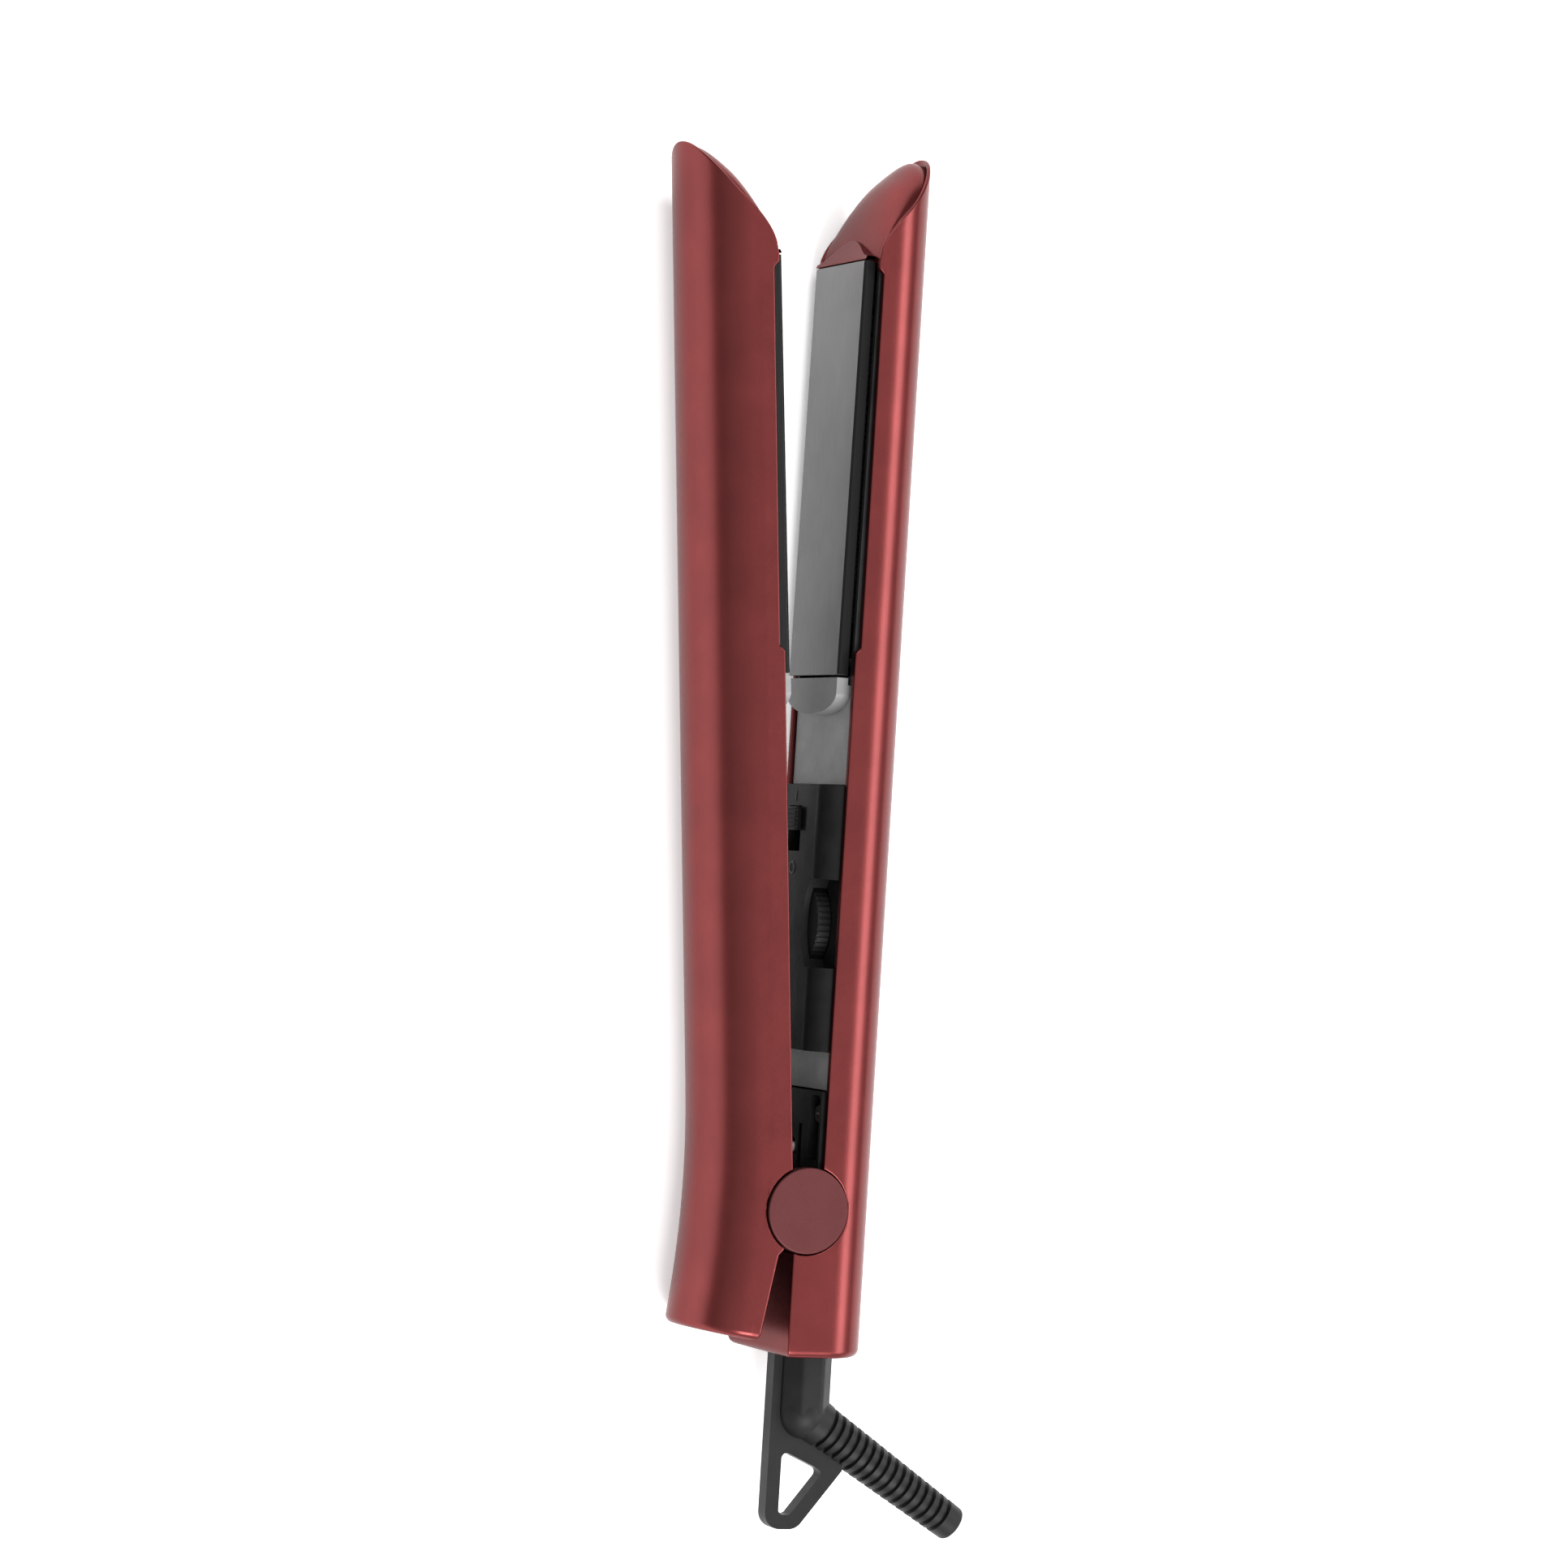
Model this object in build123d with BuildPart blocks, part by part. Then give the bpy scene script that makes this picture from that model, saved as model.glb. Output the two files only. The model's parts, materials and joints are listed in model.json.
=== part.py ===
from build123d import *
import os
from collections import namedtuple
from math import cos, degrees, radians, sin, sqrt

# Flat iron (hair straightener), lying on one side as it would on a table.
# The hinge axis is Z through the origin, the arms run along +X, and z = 0 is the
# outer face of the lower hinge cap. Millimetres and degrees throughout.

os.makedirs("parts", exist_ok=True)

# ---- Driving dimensions ----------------------------------------------------
PLATE_LENGTH = 89.0  # 3.5 inch plates
PLATE_WIDTH = 25.4  # 1 inch plates
PLATE_BACK = 114.5  # hinge axis to the rear end of a plate
PLATE_OPEN = 5.5  # angle between the plate faces at rest
SHELL_OPEN = 4.8  # angle between the two shells at rest

HALF_WIDTH = 15.9  # half the width of an arm
CAP_PROUD = 0.5  # how far a hinge cap stands out of the arm's side
MID_HEIGHT = HALF_WIDTH + CAP_PROUD
EDGE = 3.25  # depth of a shell's edge below the parting plane
FLAT_END = 7.25  # depth where the flat sides turn into the half ellipse
BACK = 19.3  # depth of the back of an arm
WALL = 1.5
FIT = 0.3  # gap between a shell's inner wall and what it holds

NOSE_START = 203.2  # where the edge starts to curve into the nose
NOSE_POINTS = ((NOSE_START, EDGE), (208.2, 4.6), (215.9, 10.9), (229.2, 19.8))
NOSE_TANGENTS = ((1, 0), (0.88, 0.48))
NOTCH = (119.0, 202.0)  # the edge is lower along the plates
NOTCH_DEPTH = 1.2

CAP_RADIUS = 9.25
CAP_GAP = 0.25
CAP_INNER = 14.2  # mid plane to a cap's inner face
PIN_RADIUS = 1.5
RUNNING = 0.05  # radial clearance of a running fit

TAIL_END = -31.5  # end of the control arm
TAIL_EDGE = -2.65  # the control arm's tail crosses the parting plane
TAIL_START = -8.5
HEEL_BEND_START = 26.0  # the plain arm's heel bends outward from here
HEEL_BEND_RADIUS = 240.0
HEEL_END_ANGLE = 13.1
HEEL_EDGE = ((-45.0, 16.4), (-9.0, 6.7), (-6.0, EDGE))

SWIVEL_DEPTH = 8.6  # swivel axis below the parting plane
BOSS_RADIUS = 6.25
SWIVEL_GAP = 0.35
ELBOW_X = -44.5
ELBOW_ANGLE = 57.5
SLEEVE_LENGTH = 45.3
SLEEVE_RADII = (5.15, 3.95)
RIBS = 16
RIB_PITCH = 2.3
RIB_START = 5.6

BOARD_DEPTHS = (9.2, 10.8)  # circuit board, below the parting plane
BOARD_SCREWS = ((35.0, 9.0), (35.0, -9.0), (96.0, 9.0), (96.0, -9.0))
BOARD_POST_RADIUS = 2.6
SCREW_REACH = 4.0  # how far a screw goes into its post
SCREW_RADIUS = 1.0
SCREW_HEAD = 1.8

SCREW_SLOT = 2.2  # length of the cross slot in a screw's head
SCREW_SLOT_WIDTH = 0.45
SCREW_FIT = 0.02
TOUCH = 0.05  # gap between parts that rest on one another

INNER = HALF_WIDTH - WALL - FIT  # half width of what sits inside a shell
PLATE_FRONT = PLATE_BACK + PLATE_LENGTH
HALF_PLATE = PLATE_WIDTH / 2

Arm = namedtuple("Arm", "name shell jaw")


def arm_frame(side, half_angle):
    """Frame of an arm: x along it, y outward from the parting plane, z across it."""
    lean = radians(half_angle)
    x_dir = (cos(lean), side * sin(lean), 0)
    return Plane(origin=(0, 0, MID_HEIGHT), x_dir=x_dir, z_dir=(0, 0, side))


def across(frame, x):
    """Plane across an arm at x, looking to the tip: sketch X is depth."""
    origin = frame.from_local_coords((x, 0, 0))
    return Plane(origin=origin, x_dir=frame.y_dir, z_dir=frame.x_dir)


def facing(frame, depth):
    """Plane at a depth, its normal back to the parting plane: sketch X is along the arm."""
    origin = frame.from_local_coords((0, depth, 0))
    return Plane(origin=origin, x_dir=frame.x_dir, z_dir=-frame.y_dir)


def save(piece, name):
    """Label a finished piece and write it."""
    piece.part.label = name
    export_step(piece.part, f"parts/{name}.step")


CONTROL = Arm("control", arm_frame(-1, SHELL_OPEN / 2), arm_frame(-1, PLATE_OPEN / 2))
PLAIN = Arm("plain", arm_frame(1, SHELL_OPEN / 2), arm_frame(1, PLATE_OPEN / 2))
ARMS = (CONTROL, PLAIN)
# The control arm's frame has its z axis pointing down, so its upper side is negative.
UP = -1


def half_round(plane, inset, top):
    """Section of an arm: flat sides from top, closed by a half ellipse at the back."""
    half = HALF_WIDTH - inset
    with BuildSketch(plane) as section:
        with BuildLine():
            reach = BACK - inset - FLAT_END
            EllipticalCenterArc((FLAT_END, 0), reach, half, start_angle=-90, arc_size=180)
            Polyline((FLAT_END, half), (top, half), (top, -half), (FLAT_END, -half))
        make_face()
    return section.sketch


# ---- Arm shells ------------------------------------------------------------
DEEP = 40.0  # beyond the back of any arm
OPEN_TOP = -12.0  # above the edge of any arm
NOSE_LIMIT = 240.0
notch_line = (
    (NOTCH[1], EDGE),
    (NOTCH[1] - NOTCH_DEPTH, EDGE + NOTCH_DEPTH),
    (NOTCH[0] + NOTCH_DEPTH, EDGE + NOTCH_DEPTH),
    (NOTCH[0], EDGE),
)
control_tail_line = (
    (TAIL_START, EDGE),
    (TAIL_START, TAIL_EDGE),
    (TAIL_END, TAIL_EDGE),
    (TAIL_END, DEEP),
)
plain_tail_line = tuple(reversed(HEEL_EDGE)) + ((HEEL_EDGE[0][0], DEEP),)


def side_view(frame, tail_line):
    """Outline of an arm seen from the side, from the nose round the edge to the tail."""
    tip = NOSE_POINTS[-1]
    with BuildSketch(frame) as view:
        with BuildLine():
            Spline(NOSE_POINTS, tangents=NOSE_TANGENTS)
            Polyline(
                NOSE_POINTS[0],
                *notch_line,
                *tail_line,
                (NOSE_LIMIT, DEEP),
                (NOSE_LIMIT, tip[1]),
                tip,
            )
        make_face()
    return view.sketch


def straight_body(frame, inset, top, tail):
    """Half-round body of the control arm, from its tail to past the nose."""
    with BuildPart() as body:
        extrude(half_round(across(frame, tail), inset, top), amount=NOSE_LIMIT - tail)
    return body.part


def bent_body(frame, inset, top, end_angle):
    """Half-round body of the plain arm, whose heel bends outward along an arc."""
    centre = (HEEL_BEND_START, HEEL_BEND_RADIUS)
    with BuildLine(frame) as path:
        Line((NOSE_LIMIT, 0), (HEEL_BEND_START, 0))
        CenterArc(centre, HEEL_BEND_RADIUS, -90, arc_size=-end_angle)
    with BuildPart() as body:
        add(half_round(across(frame, NOSE_LIMIT), inset, top))
        sweep(path=path.line)
    return body.part


wall_angle = degrees(WALL / HEEL_BEND_RADIUS)
cavity_line = ((NOSE_LIMIT, OPEN_TOP), (TAIL_START - 1, OPEN_TOP))
tails = {
    "control": (
        straight_body(CONTROL.shell, 0, OPEN_TOP, TAIL_END),
        straight_body(CONTROL.shell, WALL, OPEN_TOP, TAIL_END + WALL),
        control_tail_line,
        ((TAIL_START - 1, TAIL_EDGE + WALL), (TAIL_END, TAIL_EDGE + WALL)),
    ),
    "plain": (
        bent_body(PLAIN.shell, 0, OPEN_TOP, HEEL_END_ANGLE),
        bent_body(PLAIN.shell, WALL, OPEN_TOP, HEEL_END_ANGLE - wall_angle),
        plain_tail_line,
        ((TAIL_START - 1, HEEL_EDGE[1][1] + WALL + 0.2), (HEEL_EDGE[0][0], HEEL_EDGE[0][1] + WALL)),
    ),
}

with BuildPart() as posts:
    with BuildSketch(facing(CONTROL.shell, BACK)):
        with Locations(*BOARD_SCREWS):
            Circle(BOARD_POST_RADIUS)
    extrude(amount=BACK - BOARD_DEPTHS[1] - TOUCH)
    add(straight_body(CONTROL.shell, WALL / 2, OPEN_TOP, TAIL_END), mode=Mode.INTERSECT)
    with BuildSketch(facing(CONTROL.shell, BOARD_DEPTHS[1] + SCREW_REACH + 0.2)):
        with Locations(*BOARD_SCREWS):
            Circle(SCREW_RADIUS)
    extrude(amount=SCREW_REACH + 1, mode=Mode.SUBTRACT)

for arm in ARMS:
    outer, inner, tail_line, floor_line = tails[arm.name]
    with BuildPart() as hollow:
        with BuildSketch(arm.shell):
            with BuildLine():
                Polyline(
                    *cavity_line,
                    *floor_line,
                    (floor_line[1][0], DEEP),
                    (NOSE_LIMIT, DEEP),
                    close=True,
                )
            make_face()
        extrude(amount=HALF_WIDTH, both=True)
        add(inner, mode=Mode.INTERSECT)
    with BuildPart() as shell:
        extrude(side_view(arm.shell, tail_line), amount=HALF_WIDTH + 1, both=True)
        add(outer, mode=Mode.INTERSECT)
        add(hollow.part, mode=Mode.SUBTRACT)
        with BuildSketch(arm.shell):
            Circle(CAP_RADIUS + CAP_GAP)
        extrude(amount=HALF_WIDTH + 1, both=True, mode=Mode.SUBTRACT)
        if arm is CONTROL:
            add(posts.part)
            with BuildSketch(across(arm.shell, TAIL_END - 1)):
                with Locations((SWIVEL_DEPTH, 0)):
                    Circle(BOSS_RADIUS + SWIVEL_GAP)
            extrude(amount=WALL + 2, mode=Mode.SUBTRACT)
    save(shell, f"{arm.name}_arm_shell")

# ---- Nose pieces: a domed cap inside the shell's rim, and an arched ledge ----
NOSE_BACK = PLATE_FRONT + 1.9  # front of the plate carrier's wall
NOSE_FIT = 0.03  # gap between a nose piece and its shell
NOSE_DEPTH = 5.0  # the cap reaches this far behind the rim
RIM_LAND = 0.1  # flat strip between the dome and the shell's inner wall
DOME_LAND = 0.2  # the dome stands out of the rim by at least this
DOME_BULGE = 5.5  # and by this much more at its fullest
DOME_RISE = 20.0  # distance along the rim over which the dome swells
DOME_BLUNTNESS = 0.6  # how slowly the bulge fades where the tip narrows
DOME_STATIONS = (0.0, 0.15, 0.3, 0.42, 0.54, 0.66, 0.78, 0.85)
LEDGE_START = PLATE_FRONT + 0.3
LEDGE_LENGTH = 5.2
LEDGE_SLOPE = 24.0  # the ledge falls away from the plate's level
LEDGE_HEIGHT = 6.0
LEDGE_OVERHANG = 2.6  # thickness of the ledge where it lies over the carrier's wall
ARCH_STEPS = 4

rim_chord = (Vector(*NOSE_POINTS[-1]) - Vector(*NOSE_POINTS[0])).normalized()
rim_normal = Vector(rim_chord.Y, -rim_chord.X)
with BuildLine() as rim:
    Spline(NOSE_POINTS, tangents=NOSE_TANGENTS)


def rim_half_width(depth):
    """Half width of the cap where the rim lies at this depth."""
    inset = WALL + RIM_LAND
    reach = max(0.0, depth - FLAT_END) / (BACK - inset - FLAT_END)
    return (HALF_WIDTH - inset) * sqrt(max(0.0, 1 - reach**2))


def swell(along):
    """Share of the dome's bulge at a distance along the rim."""
    share = min(1.0, along / DOME_RISE)
    return share * share * (3 - 2 * share)


def direction(frame, flat):
    """A direction in the plane of an arm's side view, in world terms."""
    return frame.x_dir * flat.X + frame.y_dir * flat.Y


for arm in ARMS:
    with BuildPart() as ledge:
        with BuildSketch(facing(arm.jaw, LEDGE_HEIGHT)):
            arch = []
            for step in range(-ARCH_STEPS, ARCH_STEPS + 1):
                share = step / ARCH_STEPS
                arch.append((LEDGE_START + LEDGE_LENGTH * (1 - share**2) ** 2, HALF_PLATE * share))
            with BuildLine():
                Spline(arch, tangents=((1, 1), (-1, 1)))
                Line(arch[-1], arch[0])
            make_face()
        extrude(amount=LEDGE_HEIGHT)
        with BuildSketch(arm.jaw):
            front = LEDGE_START + 2 * LEDGE_LENGTH
            drop = 2 * LEDGE_LENGTH * sin(radians(LEDGE_SLOPE))
            Polygon((LEDGE_START, 0), (front, drop), (front, -1), (LEDGE_START, -1), align=None)
        extrude(amount=HALF_WIDTH, both=True, mode=Mode.SUBTRACT)
    with BuildPart() as dome:
        for station in DOME_STATIONS:
            point = rim.line @ station
            along = (point - rim.line @ 0).dot(rim_chord)
            half = rim_half_width(point.Y)
            narrowing = (half / (HALF_WIDTH - WALL)) ** DOME_BLUNTNESS
            bulge = DOME_LAND + DOME_BULGE * swell(along) * narrowing
            section_plane = Plane(
                origin=arm.shell.from_local_coords((point.X, point.Y, 0)),
                x_dir=direction(arm.shell, rim_normal),
                z_dir=direction(arm.shell, rim_chord),
            )
            with BuildSketch(section_plane):
                with BuildLine():
                    EllipticalCenterArc((0, 0), bulge, half, start_angle=-90, arc_size=180)
                    Polyline((0, half), (-NOSE_DEPTH, half), (-NOSE_DEPTH, -half), (0, -half))
                make_face()
        loft()
    with BuildPart() as nose:
        extrude(
            half_round(across(arm.shell, NOSE_BACK), WALL + NOSE_FIT, OPEN_TOP),
            amount=NOSE_LIMIT - NOSE_BACK,
        )
        add(dome.part, mode=Mode.INTERSECT)
        add(ledge.part)
        with BuildSketch(arm.jaw):
            with Locations((0, LEDGE_OVERHANG)):
                Rectangle(NOSE_BACK, DEEP, align=Align.MIN)
        extrude(amount=HALF_WIDTH, both=True, mode=Mode.SUBTRACT)
    save(nose, f"{arm.name}_nose_piece")

# ---- Plates, heaters and carriers --------------------------------------------
PLATE_THICK = 2.0
PLATE_SKIRT = 2.5  # depth of the plate's long sides
PLATE_CHAMFER = 0.5
FLOAT_TRAVEL = 0.8
POCKET_GAP = 0.35
CARRIER_TOP = 2.9
CARRIER_FLOOR = 8.4
CARRIER_BOTTOM = 9.6
CARRIER_BACK = PLATE_BACK - 2.0
LEAD_HOLE = 3.5
TAB_BACK = 106.1
TAB_STRAIGHT = 110.6
TAB_GAP = 0.6
HEATER_SPAN = (122.0, 196.0)
HEATER_HALF = 6.8
HEATER_DEPTHS = (2.1, 4.7)
RAIL_INNER = 7.1
RAIL_OUTER = 8.2
CLIP_THICK = 0.5
CLIP_DEPTH = 5.0
SPRING_STATIONS = (132.0, 186.0)
SPRING_HALF = 9.0
SPRING_WIDTH = 6.0
SPRING_THICK = 0.3
SKIRT_THICK = 1.0
HEATER_LENGTH = HEATER_SPAN[1] - HEATER_SPAN[0]
SENSOR_X = 118.2
SENSOR_SIZE = (4.6, 2.4, 1.9)
CARRIER_SHOULDER = (6.0, 1.8)  # depth and width of the carrier's bevelled lower edge
TAB_LAYERS = ((0, 2.6, PLATE_BACK - TAB_GAP), (2.6, 3.3, CARRIER_BACK - 0.1))

for arm in ARMS:
    with BuildPart() as plate:
        with BuildSketch(across(arm.jaw, PLATE_BACK)):
            half_profile = (
                (0, 0),
                (0, HALF_PLATE - PLATE_CHAMFER),
                (PLATE_CHAMFER, HALF_PLATE),
                (PLATE_SKIRT, HALF_PLATE),
                (PLATE_SKIRT, HALF_PLATE - SKIRT_THICK),
                (PLATE_THICK, HALF_PLATE - SKIRT_THICK),
                (PLATE_THICK, RAIL_OUTER),
                (HEATER_DEPTHS[1], RAIL_OUTER),
                (HEATER_DEPTHS[1], RAIL_INNER),
                (PLATE_THICK, RAIL_INNER),
                (PLATE_THICK, 0),
            )
            with BuildLine():
                Polyline(*half_profile, close=True)
            make_face()
            mirror(about=Plane.XZ)
        extrude(amount=PLATE_LENGTH)
    save(plate, f"{arm.name}_heating_plate")

    with BuildPart() as heater:
        with BuildSketch(facing(arm.jaw, HEATER_DEPTHS[1] - 0.1)):
            with Locations((sum(HEATER_SPAN) / 2, 0)):
                RectangleRounded(HEATER_LENGTH, 2 * HEATER_HALF, 1.0)
        extrude(amount=HEATER_DEPTHS[1] - HEATER_DEPTHS[0] - 0.1)
    save(heater, f"{arm.name}_heater")

    with BuildPart() as clip:
        with BuildSketch(across(arm.jaw, HEATER_SPAN[0] + 4)):
            outer_half = RAIL_OUTER + 0.1 + CLIP_THICK
            leg_top = PLATE_SKIRT + 0.3
            inner_half = outer_half - CLIP_THICK
            from_bottom = (Align.MAX, Align.CENTER)
            with Locations((CLIP_DEPTH + CLIP_THICK, 0)):
                Rectangle(CLIP_DEPTH + CLIP_THICK - leg_top, 2 * outer_half, align=from_bottom)
            with Locations((CLIP_DEPTH, 0)):
                Rectangle(CLIP_DEPTH - leg_top + 1, 2 * inner_half, align=from_bottom, mode=Mode.SUBTRACT)
        extrude(amount=HEATER_LENGTH - 8)
    save(clip, f"{arm.name}_heater_clip")

    with BuildPart() as sensor:
        with BuildSketch(facing(arm.jaw, PLATE_THICK + 2.0)):
            with Locations((SENSOR_X, 0)):
                SlotOverall(SENSOR_SIZE[0], SENSOR_SIZE[1])
        extrude(amount=SENSOR_SIZE[2])
        fillet(sensor.edges().filter_by(GeomType.CIRCLE), radius=0.6)
    save(sensor, f"{arm.name}_thermistor")

    with BuildPart() as springs:
        with BuildSketch(arm.jaw):
            crown = CLIP_DEPTH + CLIP_THICK + 0.1
            foot = CARRIER_FLOOR - TOUCH
            for station in SPRING_STATIONS:
                start, end = station - SPRING_HALF, station + SPRING_HALF
                with BuildLine():
                    ThreePointArc((start, foot), (station, crown + SPRING_THICK), (end, foot))
                    Line((end, foot), (end, foot - SPRING_THICK))
                    ThreePointArc((end, foot - SPRING_THICK), (station, crown), (start, foot - SPRING_THICK))
                    Line((start, foot - SPRING_THICK), (start, foot))
                make_face()
        extrude(amount=SPRING_WIDTH / 2, both=True)
    save(springs, f"{arm.name}_float_springs")

    with BuildPart() as carrier:
        with BuildSketch(across(arm.jaw, CARRIER_BACK)):
            with BuildLine():
                shoulder, bevel = CARRIER_SHOULDER
                Polyline(
                    (CARRIER_TOP, INNER),
                    (shoulder, INNER),
                    (CARRIER_BOTTOM, INNER - bevel),
                    (CARRIER_BOTTOM, bevel - INNER),
                    (shoulder, -INNER),
                    (CARRIER_TOP, -INNER),
                    close=True,
                )
            make_face()
        extrude(amount=PLATE_FRONT + 1.6 - CARRIER_BACK)
        with BuildSketch(facing(arm.jaw, CARRIER_FLOOR)):
            with Locations((PLATE_BACK + PLATE_LENGTH / 2, 0)):
                Rectangle(PLATE_LENGTH + 2 * POCKET_GAP, PLATE_WIDTH + 2 * POCKET_GAP)
        extrude(amount=CARRIER_FLOOR, mode=Mode.SUBTRACT)
        with BuildSketch(facing(arm.jaw, CARRIER_BOTTOM + 1)):
            with Locations((SENSOR_X, 0)):
                Circle(LEAD_HOLE)
        extrude(amount=4, mode=Mode.SUBTRACT)
    save(carrier, f"{arm.name}_plate_carrier")

    with BuildPart() as tab:
        for lift, bottom, front in TAB_LAYERS:
            with BuildSketch(facing(arm.jaw, bottom)):
                with BuildLine():
                    reach = TAB_STRAIGHT - TAB_BACK
                    EllipticalCenterArc((TAB_STRAIGHT, 0), reach, HALF_PLATE, start_angle=90, arc_size=180)
                    Polyline(
                        (TAB_STRAIGHT, -HALF_PLATE),
                        (front, -HALF_PLATE),
                        (front, HALF_PLATE),
                        (TAB_STRAIGHT, HALF_PLATE),
                    )
                make_face()
            extrude(amount=bottom - lift)
    save(tab, f"{arm.name}_plate_end_tab")

# ---- Inner covers and control block ------------------------------------------
COVER_TOP = 4.05
COVER_THICK = 1.3
COVER_BACK = 25.6
COVER_LIP = (2.4, 1.2)  # section of the lip along each side of a cover
COVER_LIP_INSET = 2.2
BLOCK_SPAN = (33.8, 90.9)
BLOCK_LOW = 0.6  # face that carries the slide switch
BLOCK_HIGH = -0.3  # raised face that guards the thumbwheel
BLOCK_SKIN = 0.6
BLOCK_BOTTOM = 5.3
BLOCK_BEVEL = 0.8
STEP_ACROSS = 3.3  # from the mid plane up to the step between the two faces
STEP_SLOPE = 0.3
SHOULDER_START = 8.0  # the raised face rounds off from here to the block's upper side
SHOULDER_MIDDLE = (BLOCK_HIGH + 0.9, UP * 12.0)
SHOULDER_END = 3.4
BLOCK_POCKETS = ((36.0, 49.0), (73.5, 75.0))  # hollows under the block, along the arm
WHEEL_X = 61.0
WHEEL_RADIUS = 9.3
WHEEL_DEPTHS = (1.4, 4.5)
WHEEL_POCKET = 9.8
WHEEL_SPAN = (51.7, 70.6)
BULGE = 3.5  # how far the raised face bulges round the wheel
BULGE_HALF = 11.5
SLOT_X = (76.4, 86.2)
SLOT_ACROSS = -4.2
SLOT_WIDTH = 6.0
KNOB_LENGTH = 5.1
KNOB_WIDTH = 6.6
KNOB_HEIGHT = 1.3
KNOB_STEM = (3.4, 3.0)
STEM_DEPTH = 7.6
KNOB_RIDGES = 5
RIDGE_PITCH = 0.9
WHEEL_FLUTES = 44
WHEEL_STEM_DEPTH = 7.8
FUSE_X = 40.0
FUSE_ACROSS = 6.5
FUSE_RADIUS = 1.2
FUSE_LENGTH = 8.0
FUSE_LEAD = 0.35
POT_SIZE = (9.5, 11.0)
POT_TOP = 6.2
SWITCH_SIZE = (15.0, 7.0)
SWITCH_TOP = 5.8
SWITCH_GROOVE = 3.7
BOARD_SPAN = (31.0, 100.0)
BOARD_HALF = 12.0

cover_spans = {
    "control_front_cover": (CONTROL, BLOCK_SPAN[1] + 0.1, CARRIER_BACK - 0.1),
    "control_rear_cover": (CONTROL, COVER_BACK, BLOCK_SPAN[0] - 0.1),
    "plain_inner_cover": (PLAIN, COVER_BACK + 1.7, CARRIER_BACK - 0.1),
}
for name, (arm, back, front) in cover_spans.items():
    with BuildPart() as cover:
        with BuildSketch(across(arm.shell, back)):
            with Locations((COVER_TOP + COVER_THICK / 2, 0)):
                Rectangle(COVER_THICK, 2 * INNER)
            for edge_side in (-1, 1):
                with Locations((COVER_TOP + COVER_LIP_INSET, edge_side * (INNER - COVER_LIP_INSET))):
                    Rectangle(*COVER_LIP)
        extrude(amount=front - back)
    save(cover, name)

with BuildPart() as block:
    with BuildSketch(across(CONTROL.shell, BLOCK_SPAN[0])):
        with BuildLine():
            Polyline(
                (BLOCK_BOTTOM, UP * INNER),
                (BLOCK_BOTTOM, -UP * INNER),
                (BLOCK_LOW + BLOCK_BEVEL, -UP * INNER),
                (BLOCK_LOW, -UP * (INNER - BLOCK_BEVEL)),
                (BLOCK_LOW, UP * (STEP_ACROSS - STEP_SLOPE)),
                (BLOCK_HIGH, UP * (STEP_ACROSS + STEP_SLOPE)),
                (BLOCK_HIGH, UP * SHOULDER_START),
            )
            ThreePointArc((BLOCK_HIGH, UP * SHOULDER_START), SHOULDER_MIDDLE, (SHOULDER_END, UP * INNER))
            Line((SHOULDER_END, UP * INNER), (BLOCK_BOTTOM, UP * INNER))
        make_face()
    extrude(amount=BLOCK_SPAN[1] - BLOCK_SPAN[0])
    with BuildSketch(facing(CONTROL.shell, BLOCK_LOW + 0.1)):
        with BuildLine():
            bulge_line = (
                (WHEEL_X - BULGE_HALF, UP * STEP_ACROSS),
                (WHEEL_X, UP * (STEP_ACROSS - BULGE)),
                (WHEEL_X + BULGE_HALF, UP * STEP_ACROSS),
            )
            ThreePointArc(*bulge_line)
            bulge_back, bulge_front = bulge_line[0], bulge_line[2]
            Polyline(bulge_front, (bulge_front[0], UP * 6), (bulge_back[0], UP * 6), bulge_back)
        make_face()
    extrude(amount=BLOCK_LOW + 0.1 - BLOCK_HIGH)
    with BuildSketch(facing(CONTROL.shell, BLOCK_BOTTOM - 1.1)):
        with BuildLine():
            rail_line = (
                (WHEEL_SPAN[0], UP * 7.4),
                (WHEEL_X, UP * 4.4),
                (WHEEL_SPAN[1], UP * 7.4),
            )
            ThreePointArc(*rail_line)
            rail_back, rail_front = rail_line[0], rail_line[2]
            Polyline(rail_front, (rail_front[0], UP * 20), (rail_back[0], UP * 20), rail_back)
        make_face()
    extrude(amount=BLOCK_BOTTOM + 2, mode=Mode.SUBTRACT)
    with BuildSketch(facing(CONTROL.shell, BLOCK_BOTTOM + 1)):
        with Locations((WHEEL_X, 0)):
            Circle(WHEEL_POCKET)
    extrude(amount=BLOCK_BOTTOM - BLOCK_LOW - BLOCK_SKIN + 1, mode=Mode.SUBTRACT)
    with BuildSketch(facing(CONTROL.shell, BLOCK_BOTTOM + 1)):
        with Locations((sum(SLOT_X) / 2, UP * SLOT_ACROSS)):
            Rectangle(SLOT_X[1] - SLOT_X[0], SLOT_WIDTH)
    extrude(amount=BLOCK_BOTTOM + 3, mode=Mode.SUBTRACT)
    with BuildSketch(facing(CONTROL.shell, BLOCK_BOTTOM + 1)):
        for pocket_back, pocket_front in BLOCK_POCKETS:
            with Locations(((pocket_back + pocket_front) / 2, 0)):
                Rectangle(pocket_front - pocket_back, 2 * (INNER - 1.5))
    extrude(amount=BLOCK_BOTTOM - BLOCK_LOW - 0.4, mode=Mode.SUBTRACT)
save(block, "control_block")

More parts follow.
